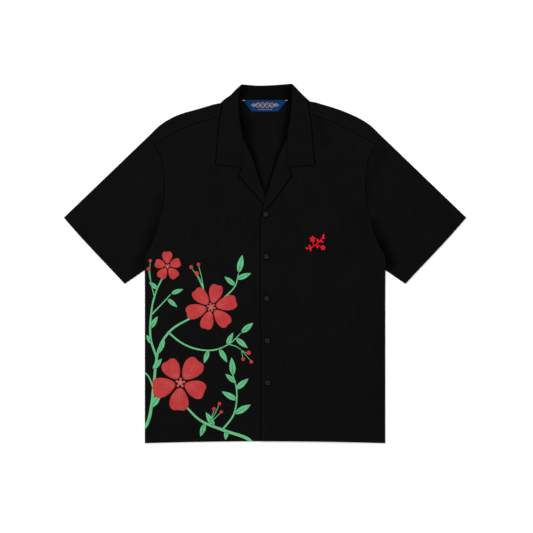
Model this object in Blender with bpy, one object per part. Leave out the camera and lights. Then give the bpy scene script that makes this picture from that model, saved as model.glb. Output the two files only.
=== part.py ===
"""Camp collar shirt, laid flat on its back with the front up.

X runs to the wearer's left, Y up the body towards the collar and Z up from the surface it lies on.
Every length in the tables is in millimetres, and MM turns it into Blender's metres. "out" is the
distance from the centre line, so one row serves both sides of the shirt.
"""

import math
from collections import namedtuple

import bmesh
import bpy
from mathutils import Vector
from mathutils.bvhtree import BVHTree

MM = 0.001

# Cloth
WALL = 1.2  # every panel
COLLAR_WALL = 1.4  # the collar, which is interlined
LABEL_WALL = 1.0
SEAM = 0.3  # the gap that stands for a seam, and the least air between two layers
PITCH = WALL + SEAM + 0.05  # from one layer's middle to the next
LIE = WALL / 2  # the middle of a panel that lies on the surface
ARM_TOP = 3.1  # the middle of the upper layer at the shoulder fold and the sleeve's top fold
NECK_BACK = 2.35  # the middle of the back where it lies on the collar's fall
NECK_TOP = 4.4  # the middle of the upper layer beside the neck
ROLL = 1.55  # the bend of a turned-back edge

# Body
HALF_CHEST = 264.2
SIDE_HIGH = 2.15  # the middle of a front at the side seam
BACK_NECK_Y = 362.0
NECK_CORNER = 66.0  # how far out the back's neck edge runs straight
HEM_SIDE = -394.9
HEM_CENTRE = -390.5
UNDERARM_Y = -14.3
PLACKET_OUT = {"right": -15.0, "left": -10.6}  # how far each front reaches past the centre line
PLACKET_HEM_OUT = {"right": -15.0, "left": -8.6}
PLACKET_TOP = {"right": 117.0, "left": 98.5}  # where the roll of the lapel starts
CENTRE_HIGH = {"right": 2.15, "left": 3.75}
SIDE_SIGN = {"right": -1, "left": 1}

UNDERARM_GAP = 1.7  # what the back keeps clear of the sleeve's lower edge
FOLD_FLAT = 5  # the flat strip of the back beside the shoulder fold
LAPEL_LEG = 3  # how far a facing runs on inside its roll

# How many parts the edge lines are cut into; pieces that share a seam share its points
SHOULDER_STEPS = 9
ARMHOLE_STEPS = 9
SIDE_STEPS = 12
ROLL_STEPS = 13
NECK_STEPS = 4
FRONT_COLUMNS = [0, 0.025, 0.06, 0.11, 0.18, 0.27, 0.38, 0.5, 0.62, 0.75, 0.88, 1]  # shares of its width
ARMHOLE_BACK_STEPS = 12
SLEEVE_STEPS = 8
UP = Vector((0, 0, 1))

# Buttons
BUTTONS = 5
BUTTON_RADIUS = 5.7
BUTTON_THICK = 2.4
BUTTON_TOP_Y = 108.0
BUTTON_PITCH = 92.4
BUTTON_X = 1.7
BUTTON_DRIFT = 1.05  # the placket leans a little, so each button sits this much further over
BUTTON_PROFILE = [  # shares of the radius and the thickness, from the middle of the foot to that of the dish
    (0.0, 0.0),
    (0.80, 0.0),
    (1.0, 0.25),
    (1.0, 0.75),
    (0.93, 1.0),
    (0.76, 1.0),
    (0.62, 0.72),
    (0.0, 0.66),
]
HOLE_RADIUS = 0.8
HOLE_PLACE = 1.35

Spot = namedtuple("Spot", "out y high", defaults=[0])
Roll = namedtuple(
    "Roll", "seam_out seam_y seam_high roll_out roll_y roll_high edge_out edge_y edge_high bend turn"
)
Lapel = namedtuple("Lapel", "roll_out roll_y edge_out edge_y turn")

# The outer edge of a front, up from the underarm: the fold that lies over the sleeve, then the armhole.
FOLD_OVER = [
    Spot(HALF_CHEST, UNDERARM_Y, 3.9),
    Spot(265.8, 0, 4.0),
    Spot(262.5, 19, 4.0),
    Spot(251.3, 38, 4.0),
    Spot(239.2, 67, 3.95),
    Spot(232.3, 92, 3.9),
    Spot(224.6, 119, 3.8),
]
ARMHOLE = [
    Spot(224.6, 119, 3.8),
    Spot(221.4, 150, 3.5),
    Spot(221.0, 180, 3.2),
    Spot(223.2, 209, 3.1),
    Spot(230.3, 238, 3.1),
    Spot(242.0, 262, 3.1),
]
ARMHOLE_HIDDEN = [  # the rest of the sleeve's seam, under the fold
    Spot(224.6, 119, 2.15),
    Spot(228.0, 95, 2.15),
    Spot(236.0, 62, 2.15),
    Spot(248.0, 22, 2.15),
    Spot(261.5, -10.4, 2.15),
]
ARMHOLE_BACK = [
    Spot(261.5, -10.4, LIE),
    Spot(250.0, 22, LIE),
    Spot(239.0, 70, LIE),
    Spot(233.5, 120, LIE),
    Spot(232.0, 170, LIE),
    Spot(235.0, 215, LIE),
    Spot(242.5, 250, LIE),
    Spot(252.5, 273.9, LIE),
]

# The silhouette over the shoulder, from the armhole to the neck, and the seam in front of it.
SHOULDER = [
    Spot(257.0, 279.0),
    Spot(231.0, 304.0),
    Spot(204.6, 320.5),
    Spot(178.2, 331.8),
    Spot(151.8, 340.3),
    Spot(125.4, 348.0),
    Spot(103.0, 352.8),
    Spot(88.0, 354.6),
    Spot(75.6, 360.6),
]
FORWARD_SEAM = [
    Spot(242.0, 262.0, ARM_TOP),
    Spot(208.0, 282.0, ARM_TOP),
    Spot(181.0, 296.2, ARM_TOP),
    Spot(143.0, 312.0, 3.3),
    Spot(112.0, 322.3, 3.9),
    Spot(98.0, 326.2, 4.3),
    Spot(76.4, 332.5, NECK_TOP),
]
NECK_SEAM = [  # the front's neck edge, up from the gorge
    Spot(51.8, 277.0, 4.1),
    Spot(57.2, 286.3, 4.2),
    Spot(64.8, 297.3, 4.3),
    Spot(71.6, 311.0, 4.35),
    Spot(76.4, 332.5, NECK_TOP),
]

# The collar from the middle of the back round to its point: where its seam, its roll and its edge
# lie. bend is the roll's radius and turn is how far round it goes, in degrees.
COLLAR_BACK = [
    Roll(0, 362.7, 2.35, 0, 390.8, 1.85, 0, 346.5, 0.7, 1.15, 180),
    Roll(22, 362.7, 2.35, 22, 391.4, 1.85, 24, 346.7, 0.7, 1.15, 180),
    Roll(43, 362.8, 2.35, 42, 392.5, 1.85, 54, 347.7, 0.7, 1.15, 180),
    Roll(63, 362.6, 2.35, 53.5, 393.0, 1.85, 81, 350.2, 0.7, 1.15, 180),
    Roll(73.0, 361.9, 2.4, 55.2, 392.6, 1.9, 95.4, 353.2, 0.7, 1.2, 180),
]
COLLAR_FRONT = [
    Roll(73.6, 360.4, 4.5, 56.6, 386.6, 6.3, 95.0, 352.4, 6.2, 1.7, 180),
    Roll(75.0, 350.0, 4.4, 58.6, 366.0, 6.5, 94.6, 345.0, 5.7, 1.8, 180),
    Roll(75.2, 338.0, 4.4, 58.4, 348.0, 6.5, 97.0, 332.0, 5.5, 1.8, 180),
    Roll(74.2, 325.0, 4.4, 57.0, 331.0, 6.4, 99.5, 318.0, 5.3, 1.8, 180),
    Roll(69.6, 310.0, 4.35, 55.2, 314.0, 6.2, 101.7, 301.0, 5.2, 1.75, 180),
    Roll(62.6, 296.5, 4.2, 52.9, 298.5, 5.7, 103.3, 284.0, 5.15, 1.7, 180),
    Roll(54.9, 286.5, 3.8, 50.2, 286.8, 5.0, 104.8, 268.0, 5.1, 1.6, 175),
    Roll(49.5, 278.6, 5.3, 50.6, 279.0, 5.9, 105.8, 254.0, 5.1, 2.6, 70),
    Roll(49.4, 268.5, 5.75, 52.8, 268.6, 6.0, 106.6, 243.0, 5.1, 6.0, 30),
    Roll(49.5, 250.0, 5.6, 53.8, 250.0, 5.8, 107.6, 231.0, 5.1, 10.0, 16),
    Roll(49.8, 231.0, 5.5, 54.2, 231.0, 5.7, 108.2, 224.0, 5.05, 10.0, 16),
    Roll(51.6, 212.4, 5.3, 56.0, 212.7, 5.5, 108.4, 217.2, 5.0, 10.0, 16),
]
CORNER_STEPS = 5  # sections between the back and the front, as the band turns the side of the neck

LAPEL_TOP = [
    Lapel(46.2, 272.0, 48.9, 270.0, 110),
    Lapel(43.6, 266.5, 49.0, 262.0, 110),
    Lapel(38.8, 256.5, 49.0, 246.0, 180),
    Lapel(32.4, 242.5, 49.3, 229.0, 180),
    Lapel(27.0, 229.5, 51.3, 212.0, 180),
    Lapel(20.8, 210.5, 54.6, 202.0, 180),
    Lapel(15.4, 193.0, 57.5, 192.6, 180),
]
LAPEL_LOW = {
    "right": [
        Lapel(11.3, 180.0, 45.5, 179.5, 130),
        Lapel(5.7, 165.0, 31.8, 164.0, 95),
        Lapel(0.2, 151.5, 18.5, 149.0, 90),
        Lapel(-5.0, 138.0, 6.5, 134.0, 90),
        Lapel(-9.5, 125.0, -3.5, 121.5, 90),
    ],
    "left": [
        Lapel(11.4, 179.0, 47.0, 176.5, 140),
        Lapel(6.7, 163.5, 34.0, 158.5, 105),
        Lapel(2.4, 148.7, 22.0, 142.0, 90),
        Lapel(-1.2, 136.0, 12.0, 129.5, 90),
        Lapel(-4.2, 124.0, 3.2, 119.9, 90),
        Lapel(-7.2, 112.5, -3.6, 110.9, 90),
        Lapel(-9.2, 106.0, -6.6, 104.9, 90),
    ],
}
EDGE_INSET = 3.2  # from the roll's outer surface to the panel's edge inside it
LAPEL_HIGH = {  # a front's middle along its roll edge: (y, height)
    "right": [(277, 4.1), (230, 4.0), (200, 3.8), (180, 3.3), (165, 2.9), (138, 2.5), (120, 2.3)],
    "left": [(277, 4.1), (230, 4.0), (200, 4.1), (180, 4.2), (165, 4.5), (138, 5.6), (118, 5.6), (100, 4.3)],
}

# The corners of the cuff, and where the sleeve's lower edge meets the body
CUFF_TOP = (442.5, 101.4)
CUFF_LOW = (308.5, -44.7)
SLEEVE_END = (263.8, -14.0)
CUFF_HIGH = 2.7  # the middle of the cuff's upper layer
SLEEVE_UNDER = 2.15  # and of the sleeve's, where the front lies over it
SLEEVE_SWELL = 0.9  # how far a layer bellies up between its edges
FRONT_SWELL = 0.8

# The woven label: half widths at its top and foot
LABEL_TOP_Y, LABEL_FOOT_Y = 359.6, 334.0
LABEL_TOP_HALF, LABEL_FOOT_HALF = 50.3, 28.0

COLOURS = {
    "shirting": (0.0052, 0.0052, 0.0055, 1),
    "facing": (0.0056, 0.0056, 0.0059, 1),
    "button": (0.012, 0.012, 0.013, 1),
    "label": (0.012, 0.045, 0.168, 1),
}
ROUGHNESS = {"shirting": 0.85, "facing": 0.85, "button": 0.25, "label": 0.5}


def clear_scene():
    for thing in list(bpy.data.objects):
        bpy.data.objects.remove(thing, do_unlink=True)


def ramp(value, start, end):
    """0 before start and 1 after end, with a soft start and finish; start may be above end."""
    t = min(1.0, max(0.0, (value - start) / (end - start)))
    return t * t * (3 - 2 * t)


def lean(x, y):
    """The neck lies a little to the wearer's left, and that shoulder a little higher."""
    neck = ramp(y, 358, 394) * (1 - ramp(abs(x), 60, 100))
    shoulder = ramp(y, 290, 320) * ramp(abs(x), 50, 95) * (1 - ramp(abs(x), 145, 200))
    return x + 3.4 * neck, y + math.copysign(1.9 * shoulder + 0.7 * neck, x) * min(1, abs(x) / 20)


def smooth_path(points, steps):
    """A Catmull-Rom curve through the points, cut into equal steps of its length."""
    points = [Vector(p) for p in points]
    ends = [2 * points[0] - points[1], *points, 2 * points[-1] - points[-2]]
    fine = []
    for i in range(len(points) - 1):
        a, b, c, d = ends[i : i + 4]
        for k in range(12):
            t = k / 12
            square = 2 * a - 5 * b + 4 * c - d
            cube = 3 * b - a - 3 * c + d
            fine.append(0.5 * (2 * b + (c - a) * t + square * t**2 + cube * t**3))
    fine.append(points[-1])
    return even_steps(fine, steps)


def even_steps(line, steps):
    along = [0.0]
    for a, b in zip(line, line[1:]):
        along.append(along[-1] + (b - a).length)
    made, k = [], 0
    for i in range(steps + 1):
        at = along[-1] * i / steps
        while k < len(line) - 2 and along[k + 1] < at:
            k += 1
        span = along[k + 1] - along[k]
        made.append(line[k].lerp(line[k + 1], (at - along[k]) / span if span else 0))
    return made


def joined(*paths):
    """Paths that share their end points, as one."""
    line = list(paths[0])
    for path in paths[1:]:
        line += path[1:]
    return line


def placed(spots, sign):
    return [Vector((sign * s.out, s.y, s.high)) for s in spots]


def table_at(rows, y):
    """Reads a (y, value) table, in falling order of y, between its rows."""
    for (y1, a), (y2, b) in zip(rows, rows[1:]):
        if y >= y2:
            return a + (b - a) * ramp(y, y1, y2)
    return rows[-1][1]


def patch(start, end, first, last, columns=None):
    """A grid between four edge lines: start and end run along its rows' ends, first and last are rows.

    columns holds each column's share of the width, and None spaces them evenly.
    """
    rows = []
    n, m = len(start) - 1, len(first) - 1
    columns = columns or [i / m for i in range(m + 1)]
    for j in range(n + 1):
        v = j / n
        row = []
        for i, u in enumerate(columns):
            across = start[j].lerp(end[j], u)
            along = first[i].lerp(last[i], v)
            corner = first[0].lerp(first[-1], u).lerp(last[0].lerp(last[-1], u), v)
            row.append(across + along - corner)
        rows.append(row)
    return rows


def curve(a, b, c, d, steps):
    """A cubic Bezier without its last point."""
    made = []
    for k in range(steps):
        t = k / steps
        made.append(a * (1 - t) ** 3 + b * 3 * t * (1 - t) ** 2 + c * 3 * t**2 * (1 - t) + d * t**3)
    return made


def rolled_section(seam, roll, edge, face, bend, turn, steps):
    """A line across a turned-back band, from its seam, round its roll, to its free edge.

    face is the direction in which the free side lies, steps counts the parts of the leg, the bend
    and the free side, and a seam that is a number is the length of a straight leg.
    """
    free = edge - roll
    up = -(free - face * free.dot(face)).normalized()
    half = turn / 2
    centre = roll - bend * (face * math.cos(half) + up * math.sin(half))
    arc = []
    for k in range(steps[1] + 1):
        angle = turn * (1 - k / steps[1])
        arc.append(centre + bend * (face * math.cos(angle) + up * math.sin(angle)))
    inward = face * math.sin(turn) - up * math.cos(turn)
    if not isinstance(seam, Vector):
        seam = arc[0] - inward * seam
    leg = (arc[0] - seam).length / 3
    side = (edge - arc[-1]).length / 3
    line = curve(seam, seam.lerp(arc[0], 0.33), arc[0] - inward * leg, arc[0], steps[0])
    line += arc[:-1]
    line += curve(arc[-1], arc[-1] - up * side, edge + up * side, edge, steps[2])
    return line + [edge]


def sheet_mesh(name, grids):
    """The middle surface of a piece of cloth, from grids of points that may share edges."""
    shape = bmesh.new()
    for grid, closed in grids:
        rows = [[shape.verts.new(Vector((*lean(p.x, p.y), p.z)) * MM) for p in row] for row in grid]
        for low, high in zip(rows, rows[1:]):
            count = len(low)
            for i in range(count if closed else count - 1):
                k = (i + 1) % count
                shape.faces.new((low[i], low[k], high[k], high[i]))
    bmesh.ops.remove_doubles(shape, verts=shape.verts, dist=0.02 * MM)
    bmesh.ops.recalc_face_normals(shape, faces=shape.faces)
    mesh = bpy.data.meshes.new(name)
    shape.to_mesh(mesh)
    shape.free()
    return mesh


def material(kind):
    found = bpy.data.materials.get(kind)
    if found:
        return found
    made = bpy.data.materials.new(kind)
    made.use_nodes = True
    shader = made.node_tree.nodes["Principled BSDF"]
    shader.inputs["Base Color"].default_value = COLOURS[kind]
    shader.inputs["Roughness"].default_value = ROUGHNESS[kind]
    shader.inputs["Metallic"].default_value = 0.0
    return made


def add_object(name, mesh, kind):
    made = bpy.data.objects.new(name, mesh)
    bpy.context.scene.collection.objects.link(made)
    mesh.materials.append(material(kind))
    mesh.shade_smooth()
    mesh.set_sharp_from_angle(angle=math.radians(50))
    return made


def add_cloth(name, grids, kind="shirting", wall=WALL):
    """A piece of cloth: its middle surface, given a wall."""
    made = add_object(name, sheet_mesh(name, grids), kind)
    thicken = made.modifiers.new("Wall", "SOLIDIFY")
    thicken.thickness = wall * MM
    thicken.offset = 0
    thicken.use_quality_normals = True
    return made


def surface(grid, closed=False):
    """What a layer laid later finds when it looks down on this one."""
    points, faces = [], []
    for row in grid:
        points += row
    wide = len(grid[0])
    for j in range(len(grid) - 1):
        for i in range(wide if closed else wide - 1):
            k = (i + 1) % wide
            faces.append((j * wide + i, j * wide + k, (j + 1) * wide + k, (j + 1) * wide + i))
    return BVHTree.FromPolygons([tuple(p) for p in points], faces)


def height_below(point, below, reach):
    """The highest middle surface under a point and round it, or None."""
    best = None
    for dx, dy in [(0, 0), (reach, 0), (-reach, 0), (0, reach), (0, -reach)]:
        for tree in below:
            hit = tree.ray_cast(Vector((point.x + dx, point.y + dy, 60)), Vector((0, 0, -1)))[0]
            if hit is not None and (best is None or hit.z > best):
                best = hit.z
    return best


def lay(grid, below, lift=PITCH, reach=5.0):
    """Raises the points that would sink into the layers below."""
    for row in grid:
        for p in row:
            found = height_below(p, below, reach)
            if found is not None:
                p.z = max(p.z, found + lift)
    return grid


def hem_line(start, end, steps):
    made = []
    for k in range(steps + 1):
        p = start.lerp(end, k / steps)
        p.y = HEM_CENTRE + (HEM_SIDE - HEM_CENTRE) * (p.x / HALF_CHEST) ** 2
        made.append(p)
    return made


def sampled(line, shares):
    """The points at these shares of a line's length."""
    along = [0.0]
    for a, b in zip(line, line[1:]):
        along.append(along[-1] + (b - a).length)
    made, k = [], 0
    for share in shares:
        at = along[-1] * share
        while k < len(line) - 2 and along[k + 1] < at:
            k += 1
        span = along[k + 1] - along[k]
        made.append(line[k].lerp(line[k + 1], (at - along[k]) / span if span else 0))
    return made


def half_round(centre, inward, bend, steps):
    """The points round a fold, from its lower layer to its upper one."""
    angles = [math.pi * k / steps for k in range(steps + 1)]
    return [centre - (inward * math.sin(angle) + UP * math.cos(angle)) * bend for angle in angles]


def over_shoulder(sign):
    """Sections of the back as it turns over the shoulder, from the armhole to the neck."""
    sections = []
    ridges = smooth_path(placed(SHOULDER, sign), SHOULDER_STEPS)
    for ridge, front in zip(ridges, smooth_path(placed(FORWARD_SEAM, sign), SHOULDER_STEPS)):
        low = back_high(ridge.x, 360)
        inward = Vector((front.x - ridge.x, front.y - ridge.y, 0)).normalized()
        bend = (front.z - low) / 2
        ridge = Vector((ridge.x, ridge.y, low + bend)) + inward * (WALL / 2)
        start = ridge + inward * (bend + FOLD_FLAT)
        start.z = low
        front = front - inward * SEAM * 1.5
        sections.append(rolled_section(start, ridge, front, UP, bend, math.pi, (1, 5, 2)))
    return sections


def back_high(x, y):
    """The back lies flat, apart from where it crosses the fall of the collar."""
    return LIE + (NECK_BACK - LIE) * ramp(y, 312, 332) * ramp(abs(x), 142, 112)


def build_back():
    """From the hem to the neck, and over the shoulders to the forward seams, as one piece."""
    grids = []
    for sign in SIDE_SIGN.values():
        sections = over_shoulder(sign)
        top = [line[0] for line in sections]
        neck = [
            top[-1],
            Vector((sign * NECK_CORNER, BACK_NECK_Y, NECK_BACK)),
            Vector((0, BACK_NECK_Y, NECK_BACK)),
        ]
        top = joined(top, even_steps(neck, 4))
        armhole = smooth_path(placed(ARMHOLE_BACK, sign), ARMHOLE_BACK_STEPS)
        corner = Vector((sign * HALF_CHEST, UNDERARM_Y - UNDERARM_GAP, LIE))
        armhole[0].y -= UNDERARM_GAP / 2
        side = even_steps([Vector((corner.x, HEM_SIDE, LIE)), corner], 10)
        outer = side + armhole
        low = [Vector((0, HEM_CENTRE, LIE)), Vector((0, 298, LIE))]
        high = [Vector((0, y, back_high(0, y))) for y in (306, 314, 322, 332, 347, BACK_NECK_Y)]
        centre = even_steps(low, len(outer) - 1 - len(high)) + high
        half = patch(centre, outer, hem_line(centre[0], outer[0], len(top) - 1), top[::-1])
        for row in half[:-1]:
            for p in row:
                p.z = back_high(p.x, p.y)
        grids += [(sections, False), (half, False)]
    add_cloth("back", grids)
    return [surface(grid) for grid, _ in grids]


def build_sleeve(side):
    """A flattened tube: a ring at each station from the cuff to the armhole."""
    sign = SIDE_SIGN[side]
    apart = Vector((sign * SEAM * 1.3, 0, 0))
    shoulder = SHOULDER[0]
    tip = Vector((sign * (shoulder.out - 2.0), shoulder.y - 2.4, 0))
    corner = placed(ARMHOLE[-1:], sign)[0]
    over = joined(
        smooth_path(placed(ARMHOLE_HIDDEN[::-1], sign), 5),
        armhole_path(sign, "sleeve"),
        [corner, corner.lerp(Vector((tip.x, tip.y, corner.z)), 0.5), Vector((tip.x, tip.y, corner.z))],
    )
    under = smooth_path(placed(ARMHOLE_BACK, sign), ARMHOLE_BACK_STEPS) + [Vector((tip.x, tip.y, LIE))]
    cuff_low = Vector((sign * CUFF_LOW[0], CUFF_LOW[1], 0))
    cuff_top = Vector((sign * CUFF_TOP[0], CUFF_TOP[1], 0))
    low_end = Vector((sign * SLEEVE_END[0], SLEEVE_END[1], 0))
    top_end = Vector((sign * shoulder.out, shoulder.y, 0)) + apart
    rings = []
    for j in range(SLEEVE_STEPS + 1):
        v = j / SLEEVE_STEPS
        layers = []
        for line in (under, over):
            shares = shares_of(line)
            layer = []
            for p, share in zip(line, shares):
                q = cuff_low.lerp(cuff_top, 0.011 + 0.978 * share).lerp(p + apart, v)
                q.z = LIE
                if line is over:
                    swell = SLEEVE_SWELL * math.sin(math.pi * share) * math.sin(math.pi * v)
                    q.z = CUFF_HIGH + (p.z - CUFF_HIGH) * ramp(v, 0.4, 1) + swell
                layer.append(q)
            layers.append(layer)
        low, high = layers
        folds = []
        for at, cuff, end in ((0, cuff_low, low_end), (-1, cuff_top, top_end)):
            inward = (end - cuff).normalized().cross(UP)
            if inward.dot(low[-1 - at] - low[at]) < 0:
                inward = -inward
            bend = (high[at].z - low[at].z) / 2
            centre = cuff.lerp(end, v) + inward * (WALL / 2 + bend) + UP * (LIE + bend)
            folds.append(half_round(centre, inward, bend, 4))
        ring = low + folds[1] + high[::-1] + folds[0][::-1]
        rings.append(ring)
    add_cloth("sleeve_" + side, [(rings, True)])
    return surface(rings, closed=True)


def shares_of(line):
    along = [0.0]
    for a, b in zip(line, line[1:]):
        along.append(along[-1] + (Vector((b.x, b.y)) - Vector((a.x, a.y))).length)
    return [at / along[-1] for at in along]


def armhole_path(sign, piece):
    """The front armhole from the fold up to the forward seam, at the front's height or the sleeve's."""
    line = smooth_path(placed(ARMHOLE, sign), ARMHOLE_STEPS)
    if piece == "sleeve":
        for p in line:
            p.z = SLEEVE_UNDER + (ARM_TOP - SLEEVE_UNDER) * ramp(p.y, 122, 185)
    return line


def inner_edge(side):
    """A front's centre edge, its roll edge and its neck edge, going up."""
    sign = SIDE_SIGN[side]
    placket = [
        Vector((sign * PLACKET_HEM_OUT[side], HEM_CENTRE, CENTRE_HIGH[side])),
        Vector((sign * PLACKET_OUT[side], PLACKET_TOP[side], CENTRE_HIGH[side])),
    ]
    rolls = LAPEL_TOP + LAPEL_LOW[side]
    roll = [placket[-1]]
    for row in rolls[:0:-1]:
        high = table_at(LAPEL_HIGH[side], row.roll_y)
        roll.append(Vector((sign * (row.roll_out + EDGE_INSET), row.roll_y, high)))
    neck = placed(NECK_SEAM, sign)
    roll = sampled(roll + neck[:1], [(k / ROLL_STEPS) ** 1.4 for k in range(ROLL_STEPS + 1)])
    return joined(even_steps(placket, SIDE_STEPS), roll, even_steps(neck, NECK_STEPS))


def build_front(side, below):
    sign = SIDE_SIGN[side]
    seam = [Spot(HALF_CHEST, HEM_SIDE, SIDE_HIGH), Spot(HALF_CHEST, -70, SIDE_HIGH), FOLD_OVER[0]]
    side_seam = even_steps(placed(seam, sign), SIDE_STEPS)
    fold_steps = ROLL_STEPS + NECK_STEPS - ARMHOLE_STEPS
    outer = joined(side_seam, smooth_path(placed(FOLD_OVER, sign), fold_steps), armhole_path(sign, "front"))
    inner = inner_edge(side)
    hem = hem_line(inner[0], outer[0], 36)
    top = smooth_path(placed(FORWARD_SEAM, sign), 36)[::-1]
    grid = patch(inner, outer, sampled(hem, FRONT_COLUMNS), sampled(top, FRONT_COLUMNS), FRONT_COLUMNS)
    for j, row in enumerate(grid):
        v = j / (len(grid) - 1)
        for u, p in zip(FRONT_COLUMNS, row):
            p.z += FRONT_SWELL * math.sin(math.pi * u) * math.sin(math.pi * min(1, v + 0.2))
    lay(grid, below)
    add_cloth("front_" + side, [(grid, False)])
    return surface(grid)


def build_lapel(side, front, below):
    """The facing where it shows: turned back over the front, and a little way round its edge."""
    sign = SIDE_SIGN[side]
    grid = []
    for row in LAPEL_TOP + LAPEL_LOW[side]:
        roll = Vector((sign * (row.roll_out + WALL / 2), row.roll_y, 0))
        edge = Vector((sign * row.edge_out, row.edge_y, 0))
        across = edge - roll
        bend = min(ROLL, 0.45 * across.length)
        near = roll + across.normalized() * min(EDGE_INSET + 2, across.length)
        high = height_below(near, [front], 2.5) + PITCH
        edge.z = max(high, height_below(edge, [front, *below], 2.5) + PITCH)
        turn = math.radians(row.turn)
        roll += across.normalized() * bend * (1 - math.sin(turn / 2))
        roll.z = high - bend * (1 - math.cos(turn / 2))
        leg = LAPEL_LEG if row.turn > 150 else 0.4
        line = rolled_section(leg, roll, edge, UP, bend, turn, (1, 6, 4))
        lay([line[-4:]], [front, *below], reach=2.5)
        grid.append(line)
    add_cloth("lapel_" + side, [(grid, False)], "facing")
    return surface(grid)


def collar_section(row, sign, face):
    seam = Vector((sign * row.seam_out, row.seam_y, row.seam_high))
    roll = Vector((sign * row.roll_out, row.roll_y, row.roll_high))
    edge = Vector((sign * row.edge_out, row.edge_y, row.edge_high))
    return rolled_section(seam, roll, edge, face, row.bend, math.radians(row.turn), (2, 6, 5))


def corner_sections(sign):
    """The band as it folds at the side of the neck, from lying behind to lying in front."""
    behind, before = COLLAR_BACK[-1], COLLAR_FRONT[0]
    made = []
    for k in range(1, CORNER_STEPS):
        angle = math.pi * k / CORNER_STEPS
        row = Roll(*((a + (b - a) * k / CORNER_STEPS) for a, b in zip(behind, before)))
        fold = Vector((row.roll_out - row.edge_out, row.roll_y - row.edge_y)).normalized()
        out_x, out_y = abs(fold.y), abs(fold.x)
        changed = {}
        for part in ("seam", "roll", "edge"):
            low, high = getattr(behind, part + "_high"), getattr(before, part + "_high")
            radius = (high - low) / 2 * (0.3 if part == "roll" else 1)
            changed[part + "_out"] = getattr(row, part + "_out") + radius * math.sin(angle) * out_x
            changed[part + "_y"] = getattr(row, part + "_y") + radius * math.sin(angle) * out_y
            changed[part + "_high"] = (low + high) / 2 - (high - low) / 2 * math.cos(angle)
        row = row._replace(**changed)
        face = Vector((sign * out_x * math.sin(angle), out_y * math.sin(angle), -math.cos(angle)))
        made.append(collar_section(row, sign, face))
    return made


def build_collar(below):
    """One band round the neck: its fall lies behind the back, and its two ends on the fronts."""
    grid = []
    for sign in (-1, 1):
        half = [collar_section(row, sign, -UP) for row in COLLAR_BACK]
        half += corner_sections(sign)
        for row in COLLAR_FRONT:
            line = collar_section(row, sign, UP)
            resting = line[-5:] if row.turn > 90 else line
            lay([resting], below, lift=PITCH + (COLLAR_WALL - WALL) / 2, reach=4)
            half.append(line)
        grid = half[::-1] if sign < 0 else grid + half[1:]
    add_cloth("collar", [(grid, False)], "facing", COLLAR_WALL)


def build_label(back):
    rows = []
    for half, y in ((LABEL_TOP_HALF, LABEL_TOP_Y), (LABEL_FOOT_HALF, LABEL_FOOT_Y)):
        rows.append(even_steps([Vector((-half, y, 0)), Vector((half, y, 0))], 8))
    top, foot = rows
    left, right = even_steps([foot[0], top[0]], 4), even_steps([foot[-1], top[-1]], 4)
    grid = lay(patch(left, right, foot, top), back, lift=(WALL + LABEL_WALL) / 2 + SEAM, reach=1)
    add_cloth("neck_label", [(grid, False)], "label", LABEL_WALL)


def button_mesh():
    """A turned disc with a raised rim and four holes."""
    shape = bmesh.new()
    radius, thick = BUTTON_RADIUS * MM, BUTTON_THICK * MM
    points = [shape.verts.new((r * radius, 0, z * thick)) for r, z in BUTTON_PROFILE]
    edges = [shape.edges.new(pair) for pair in zip(points, points[1:])]
    bmesh.ops.spin(
        shape, geom=points + edges, axis=(0, 0, 1), cent=(0, 0, 0), angle=2 * math.pi, steps=20, use_merge=True
    )
    bmesh.ops.remove_doubles(shape, verts=shape.verts, dist=0.01 * MM)
    bmesh.ops.recalc_face_normals(shape, faces=shape.faces)
    mesh = bpy.data.meshes.new("button")
    shape.to_mesh(mesh)
    shape.free()
    return mesh


def hole_cutter():
    """Four pins in one helper mesh, which the holes are cut with."""
    shape = bmesh.new()
    radius, depth = HOLE_RADIUS * MM, 4 * BUTTON_THICK * MM
    for k in range(4):
        made = bmesh.ops.create_cone(
            shape, cap_ends=True, segments=8, radius1=radius, radius2=radius, depth=depth
        )
        x, y = [(-1, -1), (1, -1), (-1, 1), (1, 1)][k]
        bmesh.ops.translate(shape, verts=made["verts"], vec=Vector((x, y, 0)) * HOLE_PLACE * MM)
    mesh = bpy.data.meshes.new("hole_cutter")
    shape.to_mesh(mesh)
    shape.free()
    return mesh


def build_buttons(front):
    mesh = button_mesh()
    cutter = bpy.data.objects.new("hole_cutter", hole_cutter())
    bpy.context.scene.collection.objects.link(cutter)
    cutter.hide_render = True
    cutter.display_type = "WIRE"
    for k in range(BUTTONS):
        place = Vector((BUTTON_X + k * BUTTON_DRIFT, BUTTON_TOP_Y - k * BUTTON_PITCH, 0))
        place.z = height_below(place, [front], BUTTON_RADIUS) + WALL / 2 + SEAM
        button = add_object(f"button_{k + 1}", mesh.copy(), "button")
        pins = cutter if k == 0 else cutter.copy()
        if k:
            bpy.context.scene.collection.objects.link(pins)
        button.location = pins.location = place * MM
        cut = button.modifiers.new("Holes", "BOOLEAN")
        cut.operation = "DIFFERENCE"
        cut.object = pins
    bpy.data.meshes.remove(mesh)


def main():
    clear_scene()
    back = build_back()
    for side in SIDE_SIGN:
        build_sleeve(side)
    right = build_front("right", [])
    right_lapel = build_lapel("right", right, [])
    left = build_front("left", [right, right_lapel])
    build_lapel("left", left, [right_lapel])
    build_collar([right, left, *back])
    build_label(back)
    build_buttons(left)


main()
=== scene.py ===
import math

import bmesh
import bpy
import numpy as np
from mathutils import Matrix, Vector
from mathutils.bvhtree import BVHTree
from mathutils.geometry import tessellate_polygon


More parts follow.
